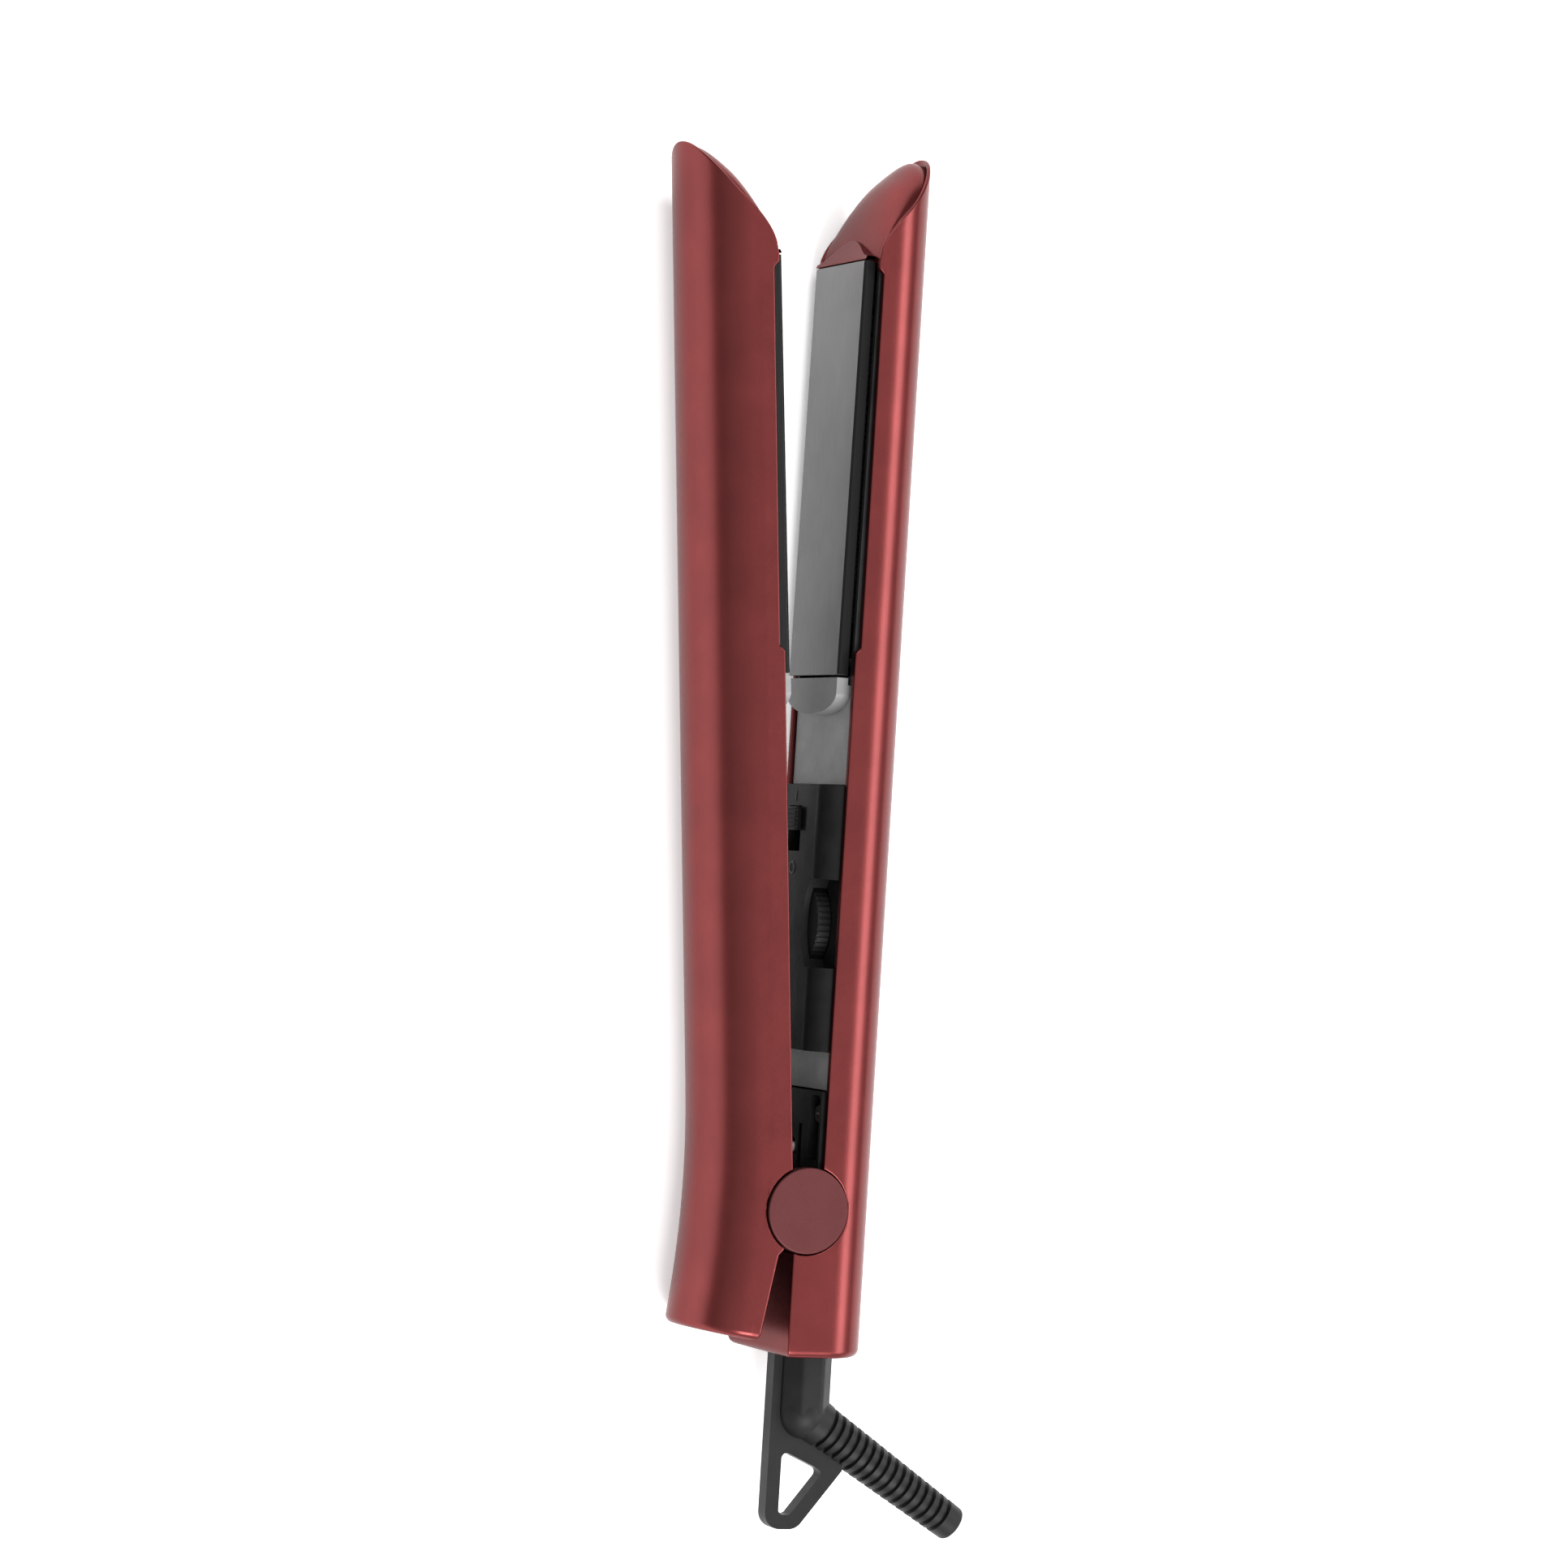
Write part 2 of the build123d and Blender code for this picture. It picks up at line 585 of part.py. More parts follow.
with BuildPart() as knob:
    knob_x = SLOT_X[1] - KNOB_LENGTH / 2 - 0.2
    knob_across = UP * SLOT_ACROSS
    with BuildSketch(facing(CONTROL.shell, BLOCK_LOW - 0.1)):
        with Locations((knob_x, knob_across)):
            Rectangle(KNOB_LENGTH, KNOB_WIDTH)
    extrude(amount=KNOB_HEIGHT)
    fillet(knob.edges().group_by(Axis(CONTROL.shell.origin, CONTROL.shell.y_dir))[0], radius=0.5)
    with BuildSketch(facing(CONTROL.shell, STEM_DEPTH)):
        with Locations((knob_x, knob_across)):
            Rectangle(*KNOB_STEM)
    extrude(amount=STEM_DEPTH - BLOCK_LOW + 0.2)
    with BuildSketch(facing(CONTROL.shell, BLOCK_LOW - 1.0)):
        with Locations((knob_x, knob_across)):
            with GridLocations(RIDGE_PITCH, 1, KNOB_RIDGES, 1):
                Rectangle(0.4, KNOB_WIDTH + 1)
    extrude(amount=1.0, mode=Mode.SUBTRACT)
save(knob, "power_slider_knob")

with BuildPart() as wheel:
    with BuildSketch(facing(CONTROL.shell, WHEEL_DEPTHS[1])):
        with Locations((WHEEL_X, 0)):
            Circle(WHEEL_RADIUS)
    extrude(amount=WHEEL_DEPTHS[1] - WHEEL_DEPTHS[0])
    chamfer(wheel.edges().filter_by(GeomType.CIRCLE), length=0.25)
    with BuildSketch(facing(CONTROL.shell, WHEEL_DEPTHS[1] + 0.1)):
        with Locations((WHEEL_X, 0)):
            with PolarLocations(WHEEL_RADIUS, WHEEL_FLUTES):
                Rectangle(0.7, 0.6)
    extrude(amount=WHEEL_DEPTHS[1] - WHEEL_DEPTHS[0] + 0.2, mode=Mode.SUBTRACT)
    with BuildSketch(facing(CONTROL.shell, WHEEL_STEM_DEPTH)):
        with Locations((WHEEL_X, 0)):
            Circle(PIN_RADIUS)
    extrude(amount=WHEEL_STEM_DEPTH - WHEEL_DEPTHS[1] + 0.5)
save(wheel, "thumbwheel")

# ---- Circuit board and what is on it -----------------------------------------
with BuildPart() as board:
    with BuildSketch(facing(CONTROL.shell, BOARD_DEPTHS[1])):
        with Locations((sum(BOARD_SPAN) / 2, 0)):
            RectangleRounded(BOARD_SPAN[1] - BOARD_SPAN[0], 2 * BOARD_HALF, 1.5)
        with Locations(*BOARD_SCREWS):
            Circle(1.15, mode=Mode.SUBTRACT)
    extrude(amount=BOARD_DEPTHS[1] - BOARD_DEPTHS[0])
save(board, "circuit_board")

with BuildPart() as potentiometer:
    with BuildSketch(facing(CONTROL.shell, BOARD_DEPTHS[0] - TOUCH)):
        with Locations((WHEEL_X, 0)):
            RectangleRounded(*POT_SIZE, 0.8)
            Circle(PIN_RADIUS + RUNNING, mode=Mode.SUBTRACT)
    extrude(amount=BOARD_DEPTHS[0] - POT_TOP)
save(potentiometer, "potentiometer")

with BuildPart() as switch_body:
    slot_middle = (sum(SLOT_X) / 2, knob_across)
    with BuildSketch(facing(CONTROL.shell, BOARD_DEPTHS[0] - TOUCH)):
        with Locations(slot_middle):
            Rectangle(*SWITCH_SIZE)
    extrude(amount=BOARD_DEPTHS[0] - SWITCH_TOP)
    with BuildSketch(facing(CONTROL.shell, STEM_DEPTH + 0.4)):
        with Locations(slot_middle):
            Rectangle(SLOT_X[1] - SLOT_X[0], SWITCH_GROOVE)
    extrude(amount=3.0, mode=Mode.SUBTRACT)
save(switch_body, "slide_switch_body")

with BuildPart() as fuse:
    fuse_middle = (BOARD_DEPTHS[0] - FUSE_RADIUS - 0.15, FUSE_ACROSS)
    with BuildSketch(across(CONTROL.shell, FUSE_X)):
        with Locations(fuse_middle):
            Circle(FUSE_RADIUS)
    extrude(amount=FUSE_LENGTH)
    fillet(fuse.edges().filter_by(GeomType.CIRCLE), radius=0.5)
    with BuildSketch(across(CONTROL.shell, FUSE_X - 3)):
        with Locations(fuse_middle):
            Circle(FUSE_LEAD)
    extrude(amount=FUSE_LENGTH + 6)
save(fuse, "thermal_fuse")

with BuildPart() as board_screws:
    with BuildSketch(facing(CONTROL.shell, BOARD_DEPTHS[1] + SCREW_REACH)):
        with Locations(*BOARD_SCREWS):
            Circle(SCREW_RADIUS - SCREW_FIT)
    extrude(amount=SCREW_REACH + BOARD_DEPTHS[1] - BOARD_DEPTHS[0] + TOUCH)
    with BuildSketch(facing(CONTROL.shell, BOARD_DEPTHS[0] - 0.03)):
        with Locations(*BOARD_SCREWS):
            Circle(SCREW_HEAD)
    extrude(amount=1.1)
    with BuildSketch(facing(CONTROL.shell, BOARD_DEPTHS[0] - 0.5)):
        with Locations(*BOARD_SCREWS):
            Rectangle(SCREW_SLOT, SCREW_SLOT_WIDTH)
            Rectangle(SCREW_SLOT_WIDTH, SCREW_SLOT)
    extrude(amount=1.0, mode=Mode.SUBTRACT)
save(board_screws, "circuit_board_screws")

# ---- Hinge -------------------------------------------------------------------
EAR_RADIUS = 7.5
EAR_SPAN = (9.8, 12.6)  # from the mid plane, both sides
LUG_RADIUS = 7.0
LUG_SPAN = (5.0, 9.3)
BRACKET_TOP = 2.6
BRACKET_BOTTOM = 13.0
BRACKET_BACK = -7.5
COIL_RADIUS = 3.9
COIL_WIRE = 0.55
COIL_PITCH = 1.4
COIL_TURNS = 5 + (180 - SHELL_OPEN) / 360
COIL_HALF = COIL_PITCH * COIL_TURNS / 2
LEG_LENGTH = 17.0
JUMPER_X = 13.0
JUMPER_RADIUS = 1.2
BRACKET_SCREWS = ((20.5, 11.0), (20.5, -11.0))
RECESS_SPAN = (10.5, 24.4)
RECESS_ACROSS = (8.4, 13.2)
RECESS_BOTTOM = 4.6
PIN_FOOT = 13.7  # below the mid plane
PIN_HEAD = 2.8
PIN_HEAD_THICK = 1.1
RING_NOTCH = (2.2, 1.0)
WASHER_RADIUS = 4.2
WASHER_THICK = 0.36
CAP_RING = (6.4, 5.2)  # outer and inner radius of the ring under a cap


def both_sides(frame, span):
    """Planes at the inner end of a span of z, above and below the mid plane."""
    upper = frame.offset(span[0])
    low_place = frame.from_local_coords((0, 0, -span[0]))
    lower = Plane(origin=low_place, x_dir=frame.x_dir, z_dir=-frame.z_dir)
    return upper, lower


Bracket = namedtuple("Bracket", "arm front round_radius own_span clear_span other_radius bore_gap")
control_bracket = Bracket(
    arm=CONTROL,
    front=COVER_BACK - 0.3,
    round_radius=EAR_RADIUS,
    own_span=EAR_SPAN,
    clear_span=(0, EAR_SPAN[0]),
    other_radius=LUG_RADIUS,
    bore_gap=0.01,
)
plain_bracket = Bracket(
    arm=PLAIN,
    front=COVER_BACK + 1.4,
    round_radius=LUG_RADIUS,
    own_span=LUG_SPAN,
    clear_span=(LUG_SPAN[1] + 0.1, HALF_WIDTH),
    other_radius=EAR_RADIUS,
    bore_gap=RUNNING,
)
for kind in (control_bracket, plain_bracket):
    arm, front, clear_span = kind.arm, kind.front, kind.clear_span
    with BuildPart() as fill:
        extrude(
            half_round(across(arm.shell, BRACKET_BACK), WALL + FIT, BRACKET_TOP),
            amount=front - BRACKET_BACK,
        )
    with BuildPart() as bracket:
        with BuildSketch(arm.shell):
            with Locations(((BRACKET_BACK + front) / 2, (BRACKET_TOP + BRACKET_BOTTOM) / 2)):
                Rectangle(front - BRACKET_BACK, BRACKET_BOTTOM - BRACKET_TOP)
        extrude(amount=HALF_WIDTH, both=True)
        add(fill.part, mode=Mode.INTERSECT)
        for plane in both_sides(arm.shell, clear_span):
            with BuildSketch(plane):
                Circle(kind.other_radius + 0.5)
            extrude(amount=clear_span[1] - clear_span[0], mode=Mode.SUBTRACT)
        for plane in both_sides(arm.shell, (EAR_SPAN[1] + 0.05, HALF_WIDTH)):
            with BuildSketch(plane):
                Circle(LUG_RADIUS)
            extrude(amount=HALF_WIDTH, mode=Mode.SUBTRACT)
        for plane in both_sides(arm.shell, kind.own_span):
            outward = plane.z_dir.dot(arm.shell.z_dir)
            with BuildSketch(plane):
                Circle(kind.round_radius)
                with Locations((0, outward * (BRACKET_TOP + 2))):
                    Rectangle(2 * kind.round_radius, 2 * BRACKET_TOP + 4)
            extrude(amount=kind.own_span[1] - kind.own_span[0])
        with BuildSketch(arm.shell):
            Circle(COIL_RADIUS + COIL_WIRE + 0.6)
        extrude(amount=LUG_SPAN[0] - 0.05, both=True, mode=Mode.SUBTRACT)
        with BuildSketch(arm.shell):
            Circle(PIN_RADIUS + kind.bore_gap)
        extrude(amount=HALF_WIDTH, both=True, mode=Mode.SUBTRACT)
        with BuildSketch(arm.shell.offset(-COIL_HALF)):
            with Locations((LEG_LENGTH / 2 + 0.5, COIL_RADIUS)):
                Rectangle(LEG_LENGTH + 1, 2 * COIL_WIRE + 0.4)
            with Locations((LEG_LENGTH / 2 + 0.5, COIL_RADIUS - 2)):
                Rectangle(LEG_LENGTH + 1, 4)
        extrude(amount=COIL_WIRE + 0.3, both=True, mode=Mode.SUBTRACT)
        with BuildSketch(facing(arm.shell, BRACKET_BOTTOM + 1)):
            with Locations((JUMPER_X, 0)):
                Circle(JUMPER_RADIUS + 0.7)
        extrude(amount=BRACKET_BOTTOM + 2, mode=Mode.SUBTRACT)
        with BuildSketch(facing(arm.shell, RECESS_BOTTOM)):
            recess_middle = sum(RECESS_ACROSS) / 2
            recess_length = RECESS_SPAN[1] - RECESS_SPAN[0]
            recess_width = RECESS_ACROSS[1] - RECESS_ACROSS[0]
            for edge_side in (-1, 1):
                with Locations((sum(RECESS_SPAN) / 2, edge_side * recess_middle)):
                    RectangleRounded(recess_length, recess_width, 1.2)
        extrude(amount=RECESS_BOTTOM, mode=Mode.SUBTRACT)
        with BuildSketch(facing(arm.shell, BRACKET_BOTTOM + 1)):
            with Locations(*BRACKET_SCREWS):
                Circle(SCREW_RADIUS)
        extrude(amount=BRACKET_BOTTOM, mode=Mode.SUBTRACT)
    save(bracket, f"{arm.name}_hinge_bracket")

    with BuildPart() as bracket_screws:
        with BuildSketch(facing(arm.shell, BRACKET_BOTTOM - 0.4)):
            with Locations(*BRACKET_SCREWS):
                Circle(SCREW_RADIUS - SCREW_FIT)
        extrude(amount=BRACKET_BOTTOM - RECESS_BOTTOM)
        with BuildSketch(facing(arm.shell, RECESS_BOTTOM - SCREW_FIT)):
            with Locations(*BRACKET_SCREWS):
                Circle(SCREW_HEAD)
        extrude(amount=1.2)
        with BuildSketch(facing(arm.shell, RECESS_BOTTOM - 0.6)):
            with Locations(*BRACKET_SCREWS):
                Rectangle(SCREW_SLOT, SCREW_SLOT_WIDTH)
                Rectangle(SCREW_SLOT_WIDTH, SCREW_SLOT)
        extrude(amount=1.0, mode=Mode.SUBTRACT)
    save(bracket_screws, f"{arm.name}_bracket_screws")

mid_plane = Plane.XY.offset(MID_HEIGHT)
with BuildPart() as pin:
    with BuildSketch(mid_plane.offset(-PIN_FOOT)):
        Circle(PIN_RADIUS)
    extrude(amount=PIN_FOOT + EAR_SPAN[1] + 0.2)
    with BuildSketch(mid_plane.offset(EAR_SPAN[1] + 0.04)):
        Circle(PIN_HEAD)
    extrude(amount=PIN_HEAD_THICK)
    chamfer(pin.edges().filter_by(GeomType.CIRCLE).sort_by(Axis.Z)[-1], length=0.4)
save(pin, "hinge_pin")

with BuildPart() as ring:
    with BuildSketch(mid_plane.offset(-EAR_SPAN[1] - 0.65)):
        Circle(PIN_HEAD)
        Circle(PIN_RADIUS + 0.01, mode=Mode.SUBTRACT)
        with Locations((2.4, 0)):
            Rectangle(*RING_NOTCH, mode=Mode.SUBTRACT)
    extrude(amount=0.6)
save(ring, "pin_retaining_ring")

with BuildPart() as washers:
    for plane in both_sides(mid_plane, (LUG_SPAN[1] + 0.12, 0)):
        with BuildSketch(plane):
            Circle(WASHER_RADIUS)
            Circle(PIN_RADIUS + RUNNING, mode=Mode.SUBTRACT)
        extrude(amount=WASHER_THICK)
save(washers, "thrust_washers")

for plane, name in zip(both_sides(mid_plane, (CAP_INNER, 0)), ("upper", "lower")):
    with BuildPart() as cap:
        with BuildSketch(plane):
            Circle(CAP_RADIUS)
        extrude(amount=MID_HEIGHT - CAP_INNER)
        circles = cap.edges().filter_by(GeomType.CIRCLE).sort_by(Axis.Z)
        fillet(circles[-1] if name == "upper" else circles[0], radius=0.35)
        with BuildSketch(plane.offset(EAR_SPAN[1] + TOUCH - CAP_INNER)):
            Circle(CAP_RING[0])
            Circle(CAP_RING[1], mode=Mode.SUBTRACT)
        extrude(amount=CAP_INNER - EAR_SPAN[1])
    save(cap, f"hinge_cap_{name}")

coil_plane = Plane(origin=(0, 0, MID_HEIGHT - COIL_HALF), x_dir=PLAIN.shell.y_dir, z_dir=(0, 0, 1))
with BuildPart() as coil_spring:
    with BuildLine(coil_plane):
        turns = Helix(COIL_PITCH, 2 * COIL_HALF, COIL_RADIUS)
    with BuildSketch(Plane(turns @ 0, z_dir=turns % 0)):
        Circle(COIL_WIRE)
    sweep(path=turns, is_frenet=True)
    for arm in ARMS:
        with BuildSketch(across(arm.shell, -0.1)):
            with Locations((COIL_RADIUS, -COIL_HALF)):
                Circle(COIL_WIRE)
        extrude(amount=LEG_LENGTH)
save(coil_spring, "return_spring")

with BuildPart() as jumper:
    jumper_place = CONTROL.shell.from_local_coords((JUMPER_X, BRACKET_BOTTOM - 0.2, 0))
    jumper_plane = Plane(origin=jumper_place, x_dir=(1, 0, 0), z_dir=(0, 1, 0))
    with BuildSketch(jumper_plane):
        Circle(JUMPER_RADIUS)
    extrude(amount=-2 * jumper_place.Y)
save(jumper, "jumper_lead_sleeve")

# ---- Swivelling cord outlet ----------------------------------------------------
DRUM_RADIUS = 4.2
FLANGE_RADIUS = 7.7
FLANGE_SPAN = (-29.5, -27.3)
BUSH_SPAN = (-29.9, -13.0)
BUSH_RADIUS = 9.2
RING_STARTS = (-25.6, -20.6)
RING_WIDTH = 2.2
RING_RADIUS = 5.1
RING_GROOVE = 0.4
BRUSH_SIZE = (2.2, 3.6)
BRUSH_SLOT = (2.4, 8.0)
BEARING_START = -16.6
CORD_BORE = 2.8
CORD_BORE_DEPTH = 30.0


def swivel_disc(start):
    """Plane across the swivel axis at x = start: the axis is its origin."""
    origin = CONTROL.shell.from_local_coords((start, SWIVEL_DEPTH, 0))
    return Plane(origin=origin, x_dir=CONTROL.shell.y_dir, z_dir=CONTROL.shell.x_dir)


with BuildPart() as bush:
    with BuildSketch(swivel_disc(BUSH_SPAN[0])):
        Circle(BUSH_RADIUS)
    extrude(amount=BUSH_SPAN[1] - BUSH_SPAN[0])
    bush_inset = WALL + TOUCH
    add(straight_body(CONTROL.shell, bush_inset, TAIL_EDGE + bush_inset, TAIL_END), mode=Mode.INTERSECT)
    steps = (
        (BUSH_SPAN[0] - 1, FLANGE_SPAN[1] + 0.3, FLANGE_RADIUS + 0.4),
        (FLANGE_SPAN[1], BEARING_START, RING_RADIUS + 0.5),
        (BEARING_START, BUSH_SPAN[1] + 1, DRUM_RADIUS + RUNNING),
    )
    for start, end, radius in steps:
        with BuildSketch(swivel_disc(start)):
            Circle(radius)
        extrude(amount=end - start, mode=Mode.SUBTRACT)
    for start in RING_STARTS:
        with BuildSketch(swivel_disc(start + 0.4)):
            with Locations((0, BRUSH_SLOT[1])):
                Rectangle(*BRUSH_SLOT)
        extrude(amount=RING_WIDTH - 0.8, mode=Mode.SUBTRACT)
save(bush, "swivel_bush")

with BuildPart() as drum:
    with BuildSketch(swivel_disc(ELBOW_X + 5)):
        Circle(DRUM_RADIUS)
    extrude(amount=BUSH_SPAN[1] - ELBOW_X - 5.5)
    with BuildSketch(swivel_disc(FLANGE_SPAN[0])):
        Circle(FLANGE_RADIUS)
    extrude(amount=FLANGE_SPAN[1] - FLANGE_SPAN[0])
    for start in RING_STARTS:
        with BuildSketch(swivel_disc(start)):
            Circle(DRUM_RADIUS + 0.1)
            Circle(DRUM_RADIUS - RING_GROOVE, mode=Mode.SUBTRACT)
        extrude(amount=RING_WIDTH, mode=Mode.SUBTRACT)
save(drum, "swivel_drum")

with BuildPart() as rings:
    for start in RING_STARTS:
        with BuildSketch(swivel_disc(start)):
            Circle(RING_RADIUS)
            Circle(DRUM_RADIUS - RING_GROOVE, mode=Mode.SUBTRACT)
        extrude(amount=RING_WIDTH)
save(rings, "contact_rings")

with BuildPart() as brushes:
    for start in RING_STARTS:
        with BuildSketch(swivel_disc(start + 0.5)):
            with Locations((0, RING_RADIUS + 0.3)):
                Rectangle(*BRUSH_SIZE, align=(Align.CENTER, Align.MIN))
        extrude(amount=RING_WIDTH - 1.0)
save(brushes, "contact_brushes")

elbow = CONTROL.shell.from_local_coords((ELBOW_X, SWIVEL_DEPTH, 0))
bend = radians(ELBOW_ANGLE)
sleeve_dir = CONTROL.shell.y_dir * sin(bend) - CONTROL.shell.x_dir * cos(bend)
# Sketch X of the sleeve's plane is out from its axis, sketch Y is along it.
sleeve_side = sleeve_dir.cross(CONTROL.shell.z_dir)
sleeve_plane = Plane(origin=elbow, x_dir=sleeve_side, z_dir=CONTROL.shell.z_dir)
sleeve_end = Plane(origin=elbow + sleeve_dir * SLEEVE_LENGTH, z_dir=sleeve_dir)
LOOP_HALF_THICK = 1.85
LOOP_OUTLINE = (
    (-31.9, 0.8),
    (-69.7, 0.8),
    (-69.7, 8.3),
    (-57.0, 18.5),
    (-47.0, 16.5),
    (ELBOW_X, SWIVEL_DEPTH),
    (-31.9, SWIVEL_DEPTH),
)
LOOP_HOLE = ((-52.6, 3.9), (-57.2, 14.1), (-66.6, 6.6), (-66.6, 3.9))
LOOP_ROUND = (3.6, 1.2)  # outer and inner corners
BOSS_START = -29.6
GROOVE = ((0, 0), (0.25, 0.85), (0.9, 0.85), (1.15, 0))  # along and depth
SLEEVE_END_ROUND = 0.9


def sleeve_radius(along):
    """Outer radius of the ribbed sleeve, which tapers from the elbow to its end."""
    share = along / SLEEVE_LENGTH
    return SLEEVE_RADII[0] + (SLEEVE_RADII[1] - SLEEVE_RADII[0]) * share


with BuildPart() as boot:
    with BuildSketch(swivel_disc(ELBOW_X)):
        RegularPolygon(BOSS_RADIUS, 8, rotation=22.5)
    extrude(amount=BOSS_START - ELBOW_X)
    corner_edges = boot.edges().filter_by(Axis(elbow, CONTROL.shell.x_dir))
    fillet(corner_edges, radius=1.8)
    with BuildSketch(sleeve_plane):
        with BuildLine():
            rib_line = [(0, 0), (SLEEVE_RADII[0] + 0.35, 0), (SLEEVE_RADII[0], RIB_START)]
            for rib in range(RIBS):
                start = RIB_START + rib * RIB_PITCH
                for along, depth in GROOVE:
                    rib_line.append((sleeve_radius(start + along) - depth, start + along))
            end_side = (SLEEVE_RADII[1], SLEEVE_LENGTH - SLEEVE_END_ROUND)
            end_face = (SLEEVE_RADII[1] - SLEEVE_END_ROUND, SLEEVE_LENGTH)
            Polyline(*rib_line, end_side)
            RadiusArc(end_side, end_face, -SLEEVE_END_ROUND)
            Polyline(end_face, (0, SLEEVE_LENGTH), (0, 0))
        make_face()
    revolve(axis=Axis(elbow, sleeve_dir))
    with Locations(Location(elbow)):
        Sphere(BOSS_RADIUS - 0.25)
    with BuildSketch(CONTROL.shell) as loop_sketch:
        with BuildLine():
            Polyline(*LOOP_OUTLINE, close=True)
        make_face()
        low_corners = loop_sketch.vertices().group_by(Axis.X)[0]
        fillet(low_corners, radius=LOOP_ROUND[0])
        with BuildSketch(CONTROL.shell, mode=Mode.SUBTRACT) as hole_sketch:
            with BuildLine():
                Polyline(*LOOP_HOLE, close=True)
            make_face()
            fillet(hole_sketch.vertices(), radius=LOOP_ROUND[1])
    extrude(amount=LOOP_HALF_THICK, both=True)
    with BuildSketch(sleeve_end):
        Circle(CORD_BORE)
    extrude(amount=-CORD_BORE_DEPTH, mode=Mode.SUBTRACT)
    with BuildSketch(swivel_disc(ELBOW_X + 4.8)):
        Circle(DRUM_RADIUS + 0.01)
    extrude(amount=DEEP, mode=Mode.SUBTRACT)
    with BuildSketch(swivel_disc(BOSS_START + TOUCH)):
        Circle(DEEP)
    extrude(amount=DEEP, mode=Mode.SUBTRACT)
save(boot, "cord_boot")

# ---- Leads ---------------------------------------------------------------------
LEAD_RADIUS = 0.7
LEAD_GAP = 2.2  # from the mid plane to a lead of a pair
heater_line = ((100.5, 10.0), (107.0, 13.0), (114.0, 13.0), (118.2, 10.6), (118.2, 5.3))
lead_lines = {
    "control_heater_leads": (CONTROL, heater_line),
    "plain_heater_leads": (PLAIN, ((COVER_BACK + 2.0, 13.4),) + heater_line[2:]),
    "supply_leads": (CONTROL, ((BUSH_SPAN[1] + 0.2, 14.5), (24.0, 15.0), (30.6, 10.0))),
}
for name, (arm, line) in lead_lines.items():
    with BuildPart() as leads:
        for edge_side in (-1, 1):
            with BuildLine(arm.shell.offset(edge_side * LEAD_GAP)) as route:
                FilletPolyline(*line, radius=2.0)
            with BuildSketch(Plane(route.line @ 0, z_dir=route.line % 0)):
                Circle(LEAD_RADIUS)
            sweep(path=route.line)
    save(leads, name)
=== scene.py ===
import json
from math import acos, atan2, cos, hypot, pi, radians, sin, sqrt, tan

import bmesh
import bpy
import numpy as np
from mathutils import Matrix, Vector


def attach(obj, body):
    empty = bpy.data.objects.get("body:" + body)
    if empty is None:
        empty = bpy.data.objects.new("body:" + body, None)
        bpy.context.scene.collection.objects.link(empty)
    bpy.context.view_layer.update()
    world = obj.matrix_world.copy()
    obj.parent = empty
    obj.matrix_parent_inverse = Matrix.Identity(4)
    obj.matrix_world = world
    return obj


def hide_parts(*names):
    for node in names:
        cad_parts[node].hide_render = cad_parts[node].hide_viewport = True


# Looks of a flat iron that lies on its side. Lengths are metres; the arms' own
# outlines are worked out in millimetres along, outward from and across each arm.
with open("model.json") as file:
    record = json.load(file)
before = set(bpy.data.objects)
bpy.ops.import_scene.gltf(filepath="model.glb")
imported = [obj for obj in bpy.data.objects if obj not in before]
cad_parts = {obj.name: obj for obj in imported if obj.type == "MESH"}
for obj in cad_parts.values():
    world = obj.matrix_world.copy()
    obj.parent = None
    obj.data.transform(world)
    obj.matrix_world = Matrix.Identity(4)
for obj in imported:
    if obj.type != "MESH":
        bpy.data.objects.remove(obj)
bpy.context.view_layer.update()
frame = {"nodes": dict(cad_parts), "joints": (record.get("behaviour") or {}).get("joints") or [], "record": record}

MM = 0.001
NODES = frame["nodes"]
JOINTS = {joint["name"]: joint for joint in frame["joints"]}
HINGE = Vector(JOINTS["jaw_hinge"]["pos_m"])

# ---- Driving sizes of the arms, in millimetres -----------------------------------
HALF_WIDTH = 15.9
EDGE = 3.25
FLAT_END = 7.25
BACK = 19.3
WALL = 1.5
RECESS_RADIUS = 9.5
NOSE_POINTS = ((203.2, 3.25), (208.2, 4.6), (215.9, 10.9), (229.14, 19.8))
NOSE_TANGENTS = ((1, 0), (0.88, 0.48))
NOTCH = (119.0, 202.0)
NOTCH_DEPTH = 1.2
NOTCH_RAMP = 1.6
TAIL_END = -31.5
TAIL_DECK = -2.65
SWIVEL_DEPTH = 8.6
SWIVEL_HOLE = 6.6
HEEL_MIDDLE = 12.5  # depth about which the plain arm's end wall closes
BEND_START = 26.0
BEND_RADIUS = 240.0
HEEL_ANGLE = radians(13.1)
HEEL_POINTS = ((-6.0, 3.25), (-9.0, 6.7), (-45.0, 16.4))
END_ROUND = 1.7
DECK_ROUND = 0.5
EDGE_ROUND = 0.3
RIM_WALL = 0.85
THINNING = 3.0  # length over which the wall thins to the rim's
PLATE_FRONT = 203.5
HALF_PLATE = 12.7
WELD = 1e-6


class Axes:
    """Directions of an arm's shell or jaw: along it, outward from the parting plane, and up."""

    def __init__(self, outward):
        self.outward = Vector(outward).normalized()
        self.side = 1 if self.outward.y > 0 else -1
        self.along = Vector((abs(self.outward.y), -self.side * self.outward.x, 0))

    def point(self, x, depth, up):
        """Place, in metres, of a point given in millimetres."""
        return HINGE + (self.along * x + self.outward * depth) * MM + Vector((0, 0, up)) * MM


control_outward = Vector(JOINTS["thumbwheel_turn"]["axis"])
SHELLS = {
    "control": Axes(control_outward),
    "plain": Axes((control_outward.x, -control_outward.y, 0)),
}
JAWS = {name: Axes(JOINTS[f"{name}_plate_float"]["axis"]) for name in SHELLS}


